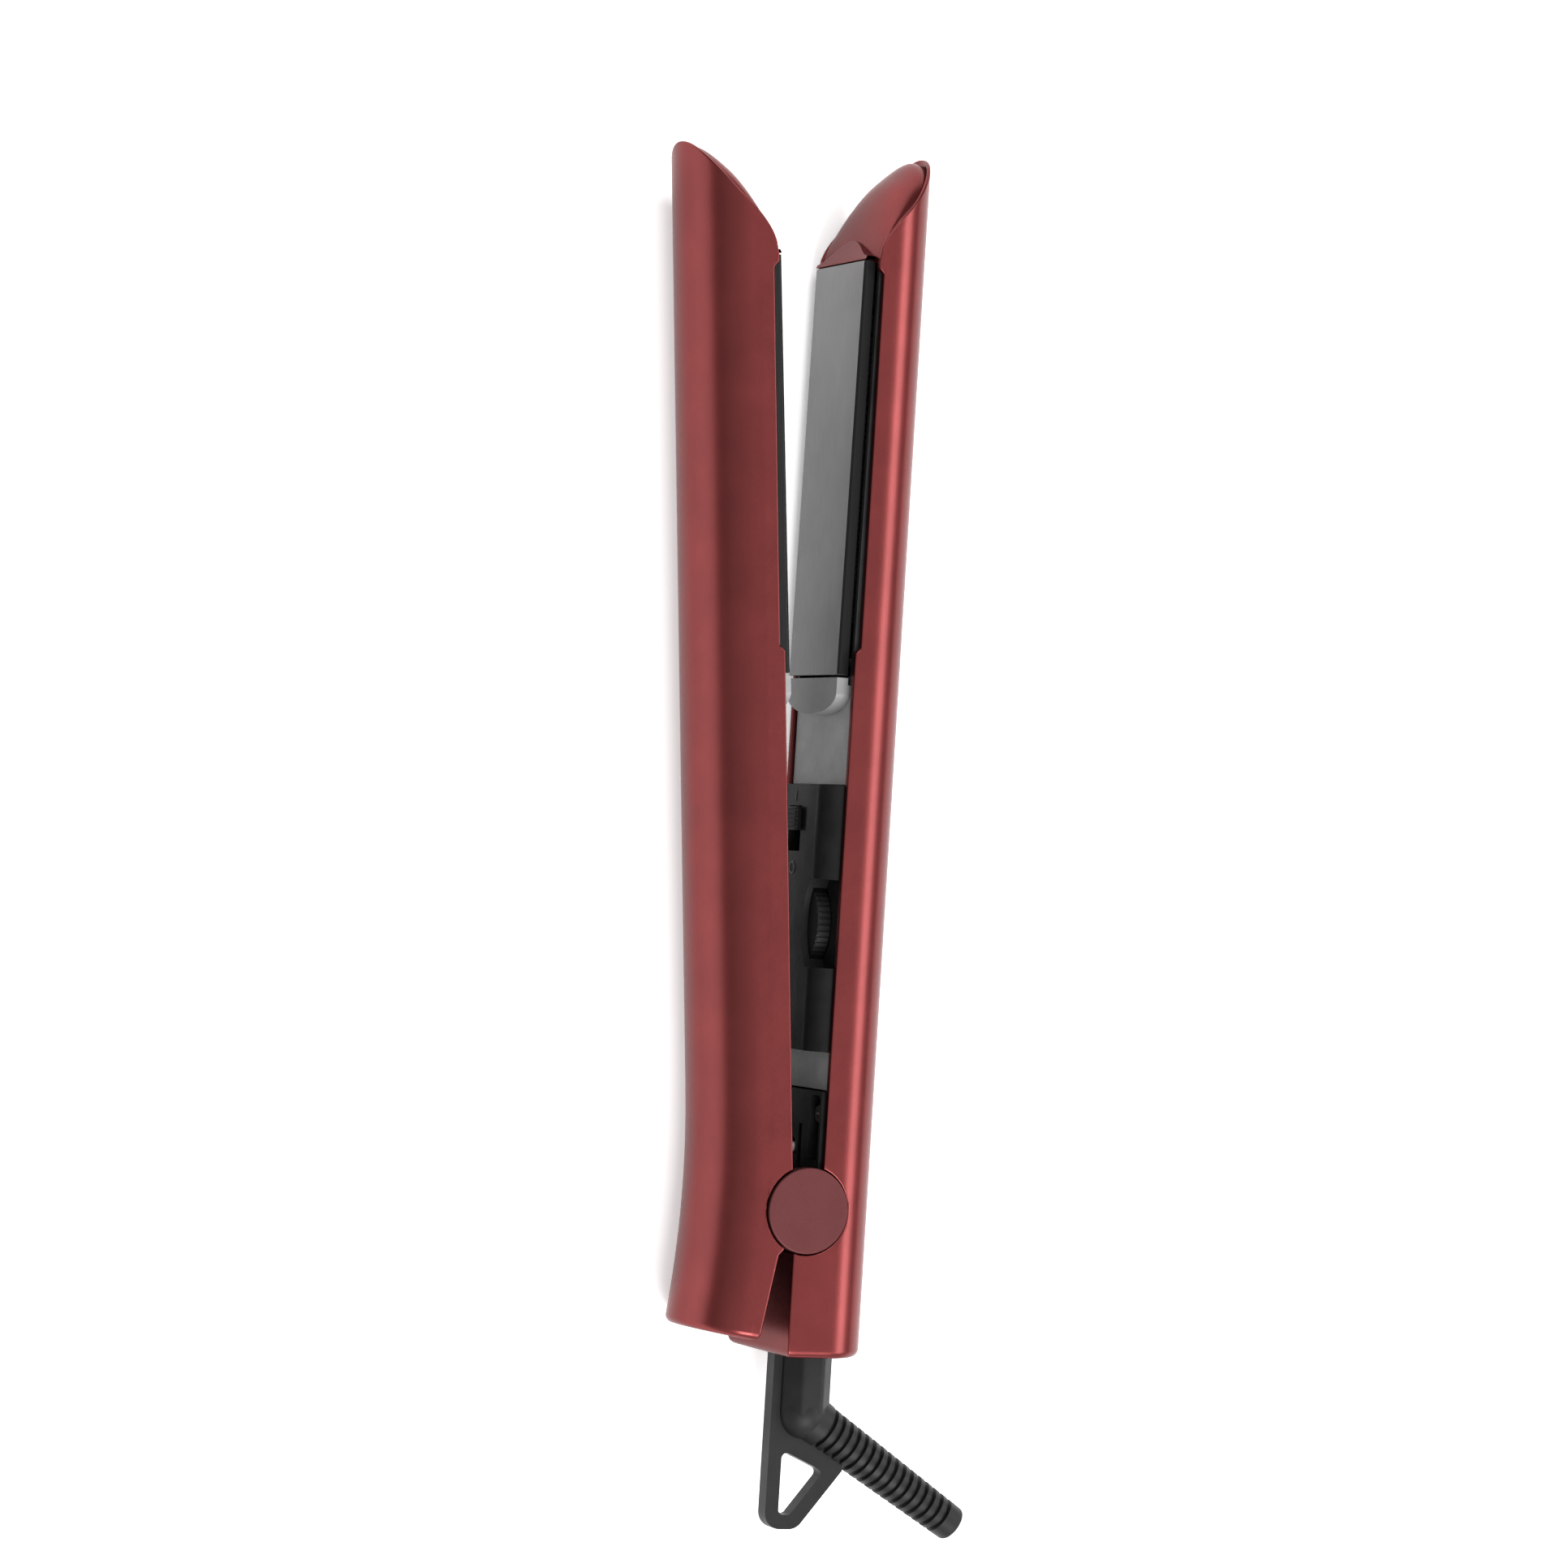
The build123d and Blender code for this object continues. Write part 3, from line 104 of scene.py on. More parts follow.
# ---- Material building blocks ------------------------------------------------------
FLAKE_SCALE = 8000
FINE_RELIEF = 0.00001
MOULD_RELIEF = 0.00002


def new_material(name):
    """Empty node material with its shader and output: returns it, its tree and the shader."""
    material = bpy.data.materials.new(name)
    material.use_nodes = True
    tree = material.node_tree
    shader = tree.nodes["Principled BSDF"]
    return material, tree, shader


def place(tree, scale=(1, 1, 1)):
    """Object coordinates, scaled."""
    coords = tree.nodes.new("ShaderNodeTexCoord")
    mapping = tree.nodes.new("ShaderNodeMapping")
    mapping.inputs["Scale"].default_value = scale
    tree.links.new(coords.outputs["Object"], mapping.inputs["Vector"])
    return mapping.outputs["Vector"]


def noise(tree, vector, scale, detail=3.0, roughness=0.55):
    """Noise value at a scale in cells per metre."""
    node = tree.nodes.new("ShaderNodeTexNoise")
    node.inputs["Scale"].default_value = scale
    node.inputs["Detail"].default_value = detail
    node.inputs["Roughness"].default_value = roughness
    tree.links.new(vector, node.inputs["Vector"])
    return node.outputs["Fac"]


def cells(tree, vector, scale):
    """Random colour of small cells."""
    node = tree.nodes.new("ShaderNodeTexVoronoi")
    node.inputs["Scale"].default_value = scale
    tree.links.new(vector, node.inputs["Vector"])
    return node.outputs["Color"]


def spread(tree, value, low, high, start=0.0, end=1.0):
    """Maps a value from one range to another."""
    node = tree.nodes.new("ShaderNodeMapRange")
    node.inputs["From Min"].default_value = start
    node.inputs["From Max"].default_value = end
    node.inputs["To Min"].default_value = low
    node.inputs["To Max"].default_value = high
    tree.links.new(value, node.inputs["Value"])
    return node.outputs["Result"]


def blend_colours(tree, share, first, second):
    """Colour between two, by a share from 0 to 1. A colour is a tuple or an output."""
    node = tree.nodes.new("ShaderNodeMix")
    node.data_type = "RGBA"
    for socket, colour in ((node.inputs[6], first), (node.inputs[7], second)):
        if isinstance(colour, tuple):
            socket.default_value = (*colour, 1)
        else:
            tree.links.new(colour, socket)
    tree.links.new(share, node.inputs[0])
    return node.outputs[2]


def bump(tree, height, distance, strength=1.0, below=None):
    """Bump from a height field, on top of an earlier bump."""
    node = tree.nodes.new("ShaderNodeBump")
    node.inputs["Distance"].default_value = distance
    node.inputs["Strength"].default_value = strength
    tree.links.new(height, node.inputs["Height"])
    if below is not None:
        tree.links.new(below, node.inputs["Normal"])
    return node.outputs["Normal"]


def metallic_lacquer(name, deep, bright, roughness, coat, coat_roughness, flake):
    """Metallic lacquer: fine flakes under a clear coat with faint orange peel."""
    material, tree, shader = new_material(name)
    vector = place(tree)
    flake_value = tree.nodes.new("ShaderNodeSeparateColor")
    tree.links.new(cells(tree, vector, FLAKE_SCALE), flake_value.inputs["Color"])
    cloud = noise(tree, vector, 90, 2.0)
    share = tree.nodes.new("ShaderNodeMath")
    share.operation = "MULTIPLY_ADD"
    share.inputs[1].default_value = flake
    tree.links.new(flake_value.outputs["Red"], share.inputs[0])
    tree.links.new(spread(tree, cloud, 0.15, 0.85 - flake, 0.3, 0.7), share.inputs[2])
    tree.links.new(blend_colours(tree, share.outputs[0], deep, bright), shader.inputs["Base Color"])
    tree.links.new(
        spread(tree, flake_value.outputs["Green"], roughness - 0.05, roughness + 0.07),
        shader.inputs["Roughness"],
    )
    fine = bump(tree, flake_value.outputs["Blue"], FINE_RELIEF, 0.12 * flake)
    peel = bump(tree, noise(tree, vector, 700, 1.0), FINE_RELIEF, 0.04, fine)
    tree.links.new(peel, shader.inputs["Normal"])
    shader.inputs["Metallic"].default_value = 1.0
    shader.inputs["Coat Weight"].default_value = coat
    shader.inputs["Coat Roughness"].default_value = coat_roughness
    shader.inputs["Coat IOR"].default_value = 1.33
    shader.inputs["Specular Tint"].default_value = (0.4, 0.16, 0.16, 1)
    return material


def moulded(name, colour, roughness, grain=2200, depth=MOULD_RELIEF, tint=0.25, specular=0.5):
    """Moulded plastic or rubber: spark-eroded grain, slight mottling and handling sheen."""
    material, tree, shader = new_material(name)
    vector = place(tree)
    mottle = noise(tree, vector, 240, 4.0)
    darker = tuple(channel * (1 - tint) for channel in colour)
    lighter = tuple(min(1.0, channel * (1 + tint)) for channel in colour)
    share = spread(tree, mottle, 0.0, 1.0, 0.3, 0.7)
    tree.links.new(blend_colours(tree, share, darker, lighter), shader.inputs["Base Color"])
    handling = noise(tree, vector, 60, 3.0)
    sheen = spread(tree, handling, roughness - 0.07, roughness + 0.07, 0.3, 0.7)
    tree.links.new(sheen, shader.inputs["Roughness"])
    relief = bump(tree, noise(tree, vector, grain, 3.0, 0.7), depth, 0.6)
    tree.links.new(relief, shader.inputs["Normal"])
    shader.inputs["Specular IOR Level"].default_value = specular
    return material


def bare_metal(name, colour, roughness, along=(1, 1, 1)):
    """Bare metal with fine drawn or stamped lines."""
    material, tree, shader = new_material(name)
    vector = place(tree, along)
    lines = noise(tree, vector, 1500, 3.0, 0.65)
    darker = tuple(channel * 0.8 for channel in colour)
    tone = blend_colours(tree, spread(tree, lines, 0, 1, 0.3, 0.7), darker, colour)
    tree.links.new(tone, shader.inputs["Base Color"])
    sheen = spread(tree, lines, roughness - 0.06, roughness + 0.1, 0.3, 0.7)
    tree.links.new(sheen, shader.inputs["Roughness"])
    tree.links.new(bump(tree, lines, FINE_RELIEF, 0.5), shader.inputs["Normal"])
    shader.inputs["Metallic"].default_value = 1.0
    return material


def plate_finish(name, face, painted_shade_flank):
    """Ceramic coated plate: satin grey face with faint lines along it, and flanks painted near black as shade."""
    material, tree, shader = new_material(name)
    vector = place(tree, (0.04, 1, 1))
    lines = noise(tree, vector, 2600, 2.0)
    cloud = noise(tree, place(tree), 45, 3.0)
    darker = tuple(channel * 0.93 for channel in face)
    lighter = tuple(channel * 1.05 for channel in face)
    tone = blend_colours(tree, spread(tree, cloud, 0, 1, 0.35, 0.65), darker, lighter)
    # Painted shade: faces turned sideways, the plate's flanks, are mixed towards the near-black shade colour.
    geometry = tree.nodes.new("ShaderNodeNewGeometry")
    split = tree.nodes.new("ShaderNodeSeparateXYZ")
    tree.links.new(geometry.outputs["True Normal"], split.inputs["Vector"])
    sideways = tree.nodes.new("ShaderNodeMath")
    sideways.operation = "ABSOLUTE"
    tree.links.new(split.outputs["Z"], sideways.inputs[0])
    flank_shade_share = spread(tree, sideways.outputs[0], 0.0, 1.0, 0.4, 0.6)
    tree.links.new(blend_colours(tree, flank_shade_share, tone, painted_shade_flank), shader.inputs["Base Color"])
    tree.links.new(spread(tree, lines, 0.3, 0.42, 0.3, 0.7), shader.inputs["Roughness"])
    tree.links.new(bump(tree, lines, FINE_RELIEF / 2, 0.4), shader.inputs["Normal"])
    shader.inputs["Metallic"].default_value = 0.35
    shader.inputs["Specular IOR Level"].default_value = 0.3
    return material


def clear_bead(name, colour):
    """Tinted glass bead with fine stria."""
    material, tree, shader = new_material(name)
    vector = place(tree)
    share = spread(tree, noise(tree, vector, 900, 3.0), 0, 1, 0.3, 0.7)
    darker = tuple(channel * 0.7 for channel in colour)
    tree.links.new(blend_colours(tree, share, darker, colour), shader.inputs["Base Color"])
    shader.inputs["Roughness"].default_value = 0.08
    shader.inputs["Coat Weight"].default_value = 0.5
    return material


RED_DEEP = (0.13, 0.02, 0.02)
RED_BRIGHT = (0.18, 0.0295, 0.029)
CAP_DEEP = (0.083, 0.023, 0.024)
CAP_BRIGHT = (0.108, 0.031, 0.032)
MATERIALS = {
    "red_lacquer": metallic_lacquer("red_lacquer", RED_DEEP, RED_BRIGHT, 0.33, 0.6, 0.26, 0.2),
    "cap_red": metallic_lacquer("cap_red", CAP_DEEP, CAP_BRIGHT, 0.55, 0.3, 0.4, 0.3),
    # Painted shade: the plate's second colour, near black, is the shade painted on its flanks.
    "plate_coating": plate_finish("plate_coating", (0.19, 0.19, 0.192), (0.008, 0.008, 0.008)),
    "carrier_black": moulded("carrier_black", (0.008, 0.008, 0.009), 0.5),
    "tab_grey": moulded("tab_grey", (0.22, 0.22, 0.22), 0.5, tint=0.1),
    "cover_grey": moulded("cover_grey", (0.3, 0.3, 0.3), 0.45, tint=0.1),
    "block_black": moulded("block_black", (0.007, 0.007, 0.0075), 0.5, specular=0.15),
    "wheel_black": moulded("wheel_black", (0.014, 0.014, 0.015), 0.4, specular=0.4),
    "boot_rubber": moulded("boot_rubber", (0.007, 0.007, 0.0075), 0.5, depth=0.00003, specular=0.2),
    "drum_black": moulded("drum_black", (0.015, 0.015, 0.015), 0.3),
    "contact_brass": bare_metal("contact_brass", (0.72, 0.5, 0.2), 0.3),
    "ceramic_white": moulded("ceramic_white", (0.75, 0.74, 0.7), 0.55, tint=0.06),
    "spring_steel": bare_metal("spring_steel", (0.45, 0.45, 0.46), 0.3),
    "bead_glass": clear_bead("bead_glass", (0.5, 0.32, 0.12)),
    "pin_steel": bare_metal("pin_steel", (0.5, 0.5, 0.5), 0.25, (1, 1, 8)),
    "screw_steel": bare_metal("screw_steel", (0.42, 0.41, 0.38), 0.35),
    "washer_nylon": moulded("washer_nylon", (0.7, 0.69, 0.64), 0.4, tint=0.05),
    "board_green": moulded("board_green", (0.03, 0.14, 0.06), 0.3),
    "pot_blue": moulded("pot_blue", (0.03, 0.08, 0.3), 0.35),
    "switch_steel": bare_metal("switch_steel", (0.5, 0.5, 0.51), 0.3),
    "fuse_steel": bare_metal("fuse_steel", (0.6, 0.58, 0.52), 0.3),
    "silicone_white": moulded("silicone_white", (0.7, 0.68, 0.62), 0.6, tint=0.05),
}
for part in frame["record"]["subparts"]:
    node = NODES[part["node"]]
    node.data.materials.clear()
    node.data.materials.append(MATERIALS[part["material_slot"]])


# ---- Mesh building blocks ------------------------------------------------------------
def grid_faces(mesh, rows, closed=False):
    """Adds a grid of faces through rows of points, each of one length."""
    verts = [[mesh.verts.new(point) for point in row] for row in rows]
    pairs = list(zip(verts, verts[1:])) + ([(verts[-1], verts[0])] if closed else [])
    for row, following in pairs:
        for k in range(len(row) - 1):
            corners = (row[k], row[k + 1], following[k + 1], following[k])
            if len({tuple(round(place, 8) for place in vert.co) for vert in corners}) > 2:
                mesh.faces.new(corners)


def finished(mesh, name, body, material, replaced):
    """Welds and orients a mesh, and makes it a piece that rides on a body."""
    bmesh.ops.remove_doubles(mesh, verts=mesh.verts, dist=WELD)
    bmesh.ops.recalc_face_normals(mesh, faces=mesh.faces)
    for face in mesh.faces:
        face.smooth = True
    data = bpy.data.meshes.new(name)
    mesh.to_mesh(data)
    mesh.free()
    piece = bpy.data.objects.new(name, data)
    bpy.context.scene.collection.objects.link(piece)
    data.materials.append(MATERIALS[material])
    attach(piece, body)
    if replaced:
        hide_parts(*replaced)
    return piece


def turn_out(mesh, probe, outward):
    """Turns all faces so that the one nearest the probe faces outward."""
    bmesh.ops.recalc_face_normals(mesh, faces=mesh.faces)
    nearest = min(mesh.faces, key=lambda face: (face.calc_center_median() - probe).length)
    if nearest.normal.dot(outward) < 0:
        bmesh.ops.reverse_faces(mesh, faces=mesh.faces)


def rim_directions(mesh):
    """For each vertex on an open rim, the direction in the skin that points out of it."""
    out = {}
    for edge in mesh.edges:
        if not edge.is_boundary:
            continue
        face = edge.link_faces[0]
        first, second = edge.verts
        away = (second.co - first.co).cross(face.normal).normalized()
        if away.dot(face.calc_center_median() - first.co) > 0:
            away.negate()
        for vert in edge.verts:
            out[vert] = out.get(vert, Vector()) + away
    return {vert: away.normalized() for vert, away in out.items()}


def walled(mesh, thickness, rounding, steps=4):
    """Gives an open skin, whose faces look outward, a wall inward with rounded rims.

    The thickness, in millimetres, is a function of the place."""
    mesh.normal_update()
    out = rim_directions(mesh)
    radius = rounding * MM
    skin, rim = list(mesh.faces), [edge for edge in mesh.edges if edge.is_boundary]
    profiles, inner = {}, {}
    for vert in list(mesh.verts):
        inward = -vert.normal * min(2.0, vert.calc_shell_factor())
        depth = thickness(vert.co) * MM
        if vert not in out:
            inner[vert] = mesh.verts.new(vert.co + inward * depth)
            continue
        corner, away, line = vert.co.copy(), out[vert], []
        for k in range(1, steps + 1):
            turn = pi / 2 * k / steps
            line.append(corner - away * radius * (1 - sin(turn)) + inward * radius * (1 - cos(turn)))
        for k in range(steps + 1):
            turn = pi / 2 * k / steps
            sunk = depth - radius + radius * sin(turn)
            line.append(corner + inward * sunk - away * radius * (1 - cos(turn)))
        vert.co = corner - away * radius
        profiles[vert] = [vert] + [mesh.verts.new(spot) for spot in line]
        inner[vert] = profiles[vert][-1]
    for edge in rim:
        first, second = (profiles[vert] for vert in edge.verts)
        for k in range(len(first) - 1):
            mesh.faces.new((first[k], second[k], second[k + 1], first[k + 1]))
    for face in skin:
        mesh.faces.new([inner[vert] for vert in reversed(face.verts)])


def rounded(piece, rounding, segments=3, angle=32):
    """Rounds the edges sharper than an angle."""
    edges = piece.modifiers.new("edges", "BEVEL")
    edges.width = rounding * MM
    edges.segments = segments
    edges.limit_method = "ANGLE"
    edges.angle_limit = radians(angle)


def evenly_shaded(piece):
    """Shades by face area, so that flat faces stay flat beside a small rounding."""
    piece.modifiers.new("shade", "WEIGHTED_NORMAL")


def crossing(value, low, high):
    """Place between low and high where a value that changes sign is nought."""
    rising = value(high) > value(low)
    for _ in range(40):
        middle = (low + high) / 2
        if (value(middle) > 0) == rising:
            high = middle
        else:
            low = middle
    return (low + high) / 2


# ---- Arm shells ------------------------------------------------------------------------
def smooth_curve(points, tangents, count=120):
    """Points of a cubic spline through a few points, with its end directions given."""
    points = np.array(points, float)
    step = np.linalg.norm(np.diff(points, axis=0), axis=1)
    size = len(points)
    matrix = np.zeros((size, size))
    right = np.zeros((size, 2))
    for end, tangent in ((0, tangents[0]), (size - 1, tangents[1])):
        matrix[end, end] = 1
        right[end] = np.array(tangent) / np.linalg.norm(tangent)
    for k in range(1, size - 1):
        matrix[k, k - 1:k + 2] = (step[k], 2 * (step[k - 1] + step[k]), step[k - 1])
        chord = [(points[j + 1] - points[j]) / step[j] for j in (k - 1, k)]
        right[k] = 3 * (chord[0] * step[k] + chord[1] * step[k - 1])
    slope = np.linalg.solve(matrix, right)
    line = []
    for k in range(size - 1):
        for t in np.linspace(0, 1, count // (size - 1), endpoint=k == size - 2):
            a, b = points[k], points[k + 1]
            line.append(
                (2 * t**3 - 3 * t**2 + 1) * a + (t**3 - 2 * t**2 + t) * step[k] * slope[k]
                + (3 * t**2 - 2 * t**3) * b + (t**3 - t**2) * step[k] * slope[k + 1]
            )
    return np.array(line)


nose_line = smooth_curve(NOSE_POINTS, NOSE_TANGENTS)


def nose_x(depth):
    """Place along the arm where the nose's rim lies at a depth."""
    return float(np.interp(depth, nose_line[:, 1], nose_line[:, 0]))


def soft_step(share):
    """Smooth rise from 0 to 1."""
    share = min(1.0, max(0.0, share))
    return share * share * (3 - 2 * share)


def edge_depth(x):
    """Depth of the shell's edge, which is lower along the plates."""
    ramp = soft_step((x - NOTCH[0]) / NOTCH_RAMP) * soft_step((NOTCH[1] - x) / NOTCH_RAMP)
    return EDGE + NOTCH_DEPTH * ramp


class Course:
    """Lines along an arm: straight for the control arm, bent outward at the heel for the plain arm."""

    def __init__(self, bent):
        self.bent = bent

    def angle(self, s):
        return max(0.0, BEND_START - s) / BEND_RADIUS if self.bent else 0.0

    def at(self, s, depth):
        """Point (along, outward) at a distance s along the line of this depth."""
        if not self.angle(s):
            return s, depth
        reach = BEND_RADIUS - depth
        turned = self.angle(s)
        return BEND_START - reach * sin(turned), BEND_RADIUS - reach * cos(turned)

    def depth_under(self, s, level, slope, level_x):
        """Depth, at s, of the straight line through (level_x, level) with a slope."""
        if not self.angle(s):
            return level + slope * (s - level_x)
        turned = self.angle(s)
        drop = BEND_RADIUS - level - slope * (BEND_START - level_x)
        return BEND_RADIUS - drop / (cos(turned) - slope * sin(turned))

    def closing(self):
        """Depth of the line that just touches the hinge recess, and where it touches."""
        if not self.bent:
            return RECESS_RADIUS, 0.0
        centre = hypot(BEND_START, BEND_RADIUS)
        touch = BEND_START - BEND_RADIUS * atan2(BEND_START, BEND_RADIUS)
        return RECESS_RADIUS + BEND_RADIUS - centre, touch


def heel_depth(course, s):
    """Depth of the heel's deck at s."""
    found = []
    for (x0, h0), (x1, h1) in zip(HEEL_POINTS, HEEL_POINTS[1:]):
        found.append(course.depth_under(s, h0, (h1 - h0) / (x1 - x0), x0))
    return min(found)


SPAN = BACK - FLAT_END
SIDE_SHARES = [k / 8 for k in range(9)]
BACK_SHARES = (0.25, 0.5, 0.7, 0.85, 0.95, 1.0)
BACK_STEPS = 22
DECK_SHARES = (0.8, 0.6, 0.4, 0.2, 0.0, -0.2, -0.4, -0.6, -0.8)
FIRST_STEPS = (0, 1.2, 2.6, 4.5, 7, 10.5, 15, 21, 30, 42, 56, 70, 84, 98, 107)
PLATE_STATIONS = (126, 135, 145, 155, 165, 175, 185, 194)
REAR_SHARES = [k / 12 for k in range(13)]
WALL_SHARES = (0.75, 0.5, 0.25, 0.0)
RECESS_SEARCH = 14.0
LEAN_REACH = 30.0
FOLD_GAP = 0.1


def half_at(level, inset):
    """Half width of an arm at a depth: straight down its flat sides, elliptical below."""
    reach = max(0.0, level - FLAT_END) / (SPAN - inset)
    return (HALF_WIDTH - inset) * sqrt(max(0.0, 1 - reach**2))


def flat_end(top):
    """Depth where the flat side ends, below an edge at a depth."""
    return max(FLAT_END, top + FOLD_GAP)


def side_line(edge, share, sign):
    """Line on a flat side, a share of the way from the edge to the half ellipse."""
    def depth(s, inset=0.0):
        top = edge(s) + inset
        return top + (flat_end(top) - top) * share
    return depth, lambda s, inset=0.0: sign * half_at(depth(s, inset), inset)


def back_line(edge, angle):
    """Line on the half-elliptic back."""
    def depth(s, inset=0.0):
        start = flat_end(edge(s) + inset)
        return start + (BACK - inset - start) * cos(angle)
    sign = (angle > 0) - (angle < 0)
    return depth, lambda s, inset=0.0: sign * half_at(depth(s, inset), inset)


def corner_line(edge, turn, sign):
    """Line on the rounded corner between a flat side and the deck that closes the tail."""
    def depth(s, inset=0.0):
        return edge(s) + inset + DECK_ROUND * (1 - sin(turn))
    return depth, lambda s, inset=0.0: sign * (HALF_WIDTH - inset - DECK_ROUND * (1 - cos(turn)))


def deck_line(edge, share):
    """Line on the deck that closes the tail."""
    def depth(s, inset=0.0):
        return edge(s) + inset
    return depth, lambda s, inset=0.0: (HALF_WIDTH - inset - DECK_ROUND) * share


def back_angles(closing_depth):
    """Angles round the back, with a line that just touches the hinge recess."""
    levels = [FLAT_END + (closing_depth - FLAT_END) * share for share in BACK_SHARES]
    half = [acos((level - FLAT_END) / SPAN) for level in levels]
    half += [half[-1] * (1 - k / BACK_STEPS) for k in range(1, BACK_STEPS + 1)]
    return [pi / 2] + half + [-angle for angle in reversed(half[:-1])] + [-pi / 2]


def arm_shell(name):
    """Shell of an arm: a half-round channel, open along the plates and closed at its tail."""
    axes = SHELLS[name]
    course = Course(bent=name == "plain")
    closing_depth, closing_s = course.closing()

    def front_edge(s):
        return course.depth_under(s, EDGE, 0.0, 0.0) if course.angle(s) else edge_depth(s)

    def rear_edge(s):
        return heel_depth(course, s) if course.bent else TAIL_DECK

    def side_top(s):
        return rear_edge(s) + DECK_ROUND

    def recess(depth, sign, level_at=None):
        """Where a line meets the hinge recess, ahead of it or behind it."""
        def gap(s):
            return hypot(*course.at(s, depth(s if level_at is None else level_at))) - RECESS_RADIUS
        if gap(closing_s) > -1e-6:
            return closing_s
        return crossing(gap, closing_s, closing_s + sign * RECESS_SEARCH)

    angles = back_angles(closing_depth)
    mesh = bmesh.new()

    # The front, from the recess to the nose's rim. The lines run square across the arm,
    # and lean only near its two ends.
    row_start = recess(side_line(front_edge, 0, 1)[0], 1)
    row_end = NOSE_POINTS[0][0]
    ramps = []
    for k in range(7):
        ramps += [NOTCH[0] + NOTCH_RAMP * k / 6, NOTCH[1] - NOTCH_RAMP * k / 6]
    stations = sorted([row_start + s for s in FIRST_STEPS] + ramps + list(PLATE_STATIONS) + [row_end])
    lines = [side_line(front_edge, share, 1) for share in SIDE_SHARES]
    lines += [back_line(front_edge, angle) for angle in angles[1:-1]]
    lines += [side_line(front_edge, share, -1) for share in reversed(SIDE_SHARES)]
    rows = []
    for depth, across in lines:
        start_shift = recess(depth, 1, row_start) - row_start
        end_shift = nose_x(depth(row_end)) - row_end
        row = []
        for s in stations:
            lean = start_shift * max(0.0, 1 - (s - row_start) / LEAN_REACH)
            lean += end_shift * max(0.0, (s - PLATE_STATIONS[-1]) / (row_end - PLATE_STATIONS[-1]))
            row.append(axes.point(*course.at(s + lean, depth(s)), across(s)))
        rows.append(row)
    grid_faces(mesh, rows)

    # The rear, from the rounded end to the recess.
    end_s = BEND_START - BEND_RADIUS * HEEL_ANGLE if course.bent else TAIL_END
    corner_turns = [pi / 2 * k / 4 for k in range(1, 5)]
    lines = [side_line(side_top, share, 1) for share in SIDE_SHARES]
    lines += [back_line(side_top, angle) for angle in angles[1:-1]]
    lines += [side_line(side_top, share, -1) for share in reversed(SIDE_SHARES)]
    lines += [corner_line(rear_edge, turn, -1) for turn in corner_turns]
    lines += [deck_line(rear_edge, -share) for share in DECK_SHARES]
    lines += [corner_line(rear_edge, turn, 1) for turn in reversed(corner_turns)]
    first = lines[0]
    start, end = end_s + END_ROUND, recess(first[0], -1)
    shares = REAR_SHARES
    if course.bent:
        kink = crossing(lambda s: course.at(s, first[0](s))[0] - HEEL_POINTS[1][0], start, end)
        shares = sorted(shares + [(kink - start) / (end - start)])
    rows = []
    for depth, across in lines:
        stops = [start + share * (recess(depth, -1) - start) for share in shares]
        rows.append([axes.point(*course.at(s, depth(s)), across(s)) for s in stops])
    grid_faces(mesh, rows, closed=True)

    # The rounded end and its wall.
    turns = [pi / 2 * k / 6 for k in range(7)]
    rows = []
    for depth, across in lines:
        row = []
        for turn in turns:
            s, inset = end_s + END_ROUND * (1 - sin(turn)), END_ROUND * (1 - cos(turn))
            row.append(axes.point(*course.at(s, depth(s, inset)), across(s, inset)))
        wall = (depth(end_s, END_ROUND), across(end_s, END_ROUND))
        middle = HEEL_MIDDLE if course.bent else SWIVEL_DEPTH
        hole = 0.0 if course.bent else SWIVEL_HOLE / hypot(wall[0] - middle, wall[1])
        for share in WALL_SHARES:
            keep = hole + (1 - hole) * share
            level = middle + (wall[0] - middle) * keep
            row.append(axes.point(*course.at(end_s, level), wall[1] * keep))
        rows.append(row)
    grid_faces(mesh, rows, closed=True)
    bmesh.ops.remove_doubles(mesh, verts=mesh.verts, dist=WELD)
    turn_out(mesh, axes.point(100, BACK, 0), axes.outward)

    def wall_at(spot):
        along = (spot - HINGE).dot(axes.along) / MM
        return WALL + (RIM_WALL - WALL) * soft_step((along - NOTCH[1]) / THINNING)

    walled(mesh, wall_at, EDGE_ROUND)
    piece = finished(mesh, f"{name}_shell_skin", f"{name}_arm", "red_lacquer", [f"{name}_arm_shell"])
    evenly_shaded(piece)


# ---- Nose: a domed cap inside the rim, and a ledge level with the plate -----------
NOSE_INSET = RIM_WALL + 0.05
LIP_DROP = 0.35
DOME_LAND = 0.2
DOME_BULGE = 5.5
DOME_RISE = 20.0
DOME_BLUNTNESS = 0.6
DOME_WALL = 0.7
DOME_EDGE_ROUND = 0.12
DOME_ROWS = 40
DOME_STEPS = 16
LEDGE_LENGTH = 5.2
LEDGE_SHOULDER = 0.8
LEDGE_SLOPE = radians(24.0)
LEDGE_HEIGHT = 4.5
LEDGE_START = PLATE_FRONT + 0.3
LEDGE_ROWS = 24
LEDGE_STEPS = 6
LEDGE_EDGE_ROUND = 0.15


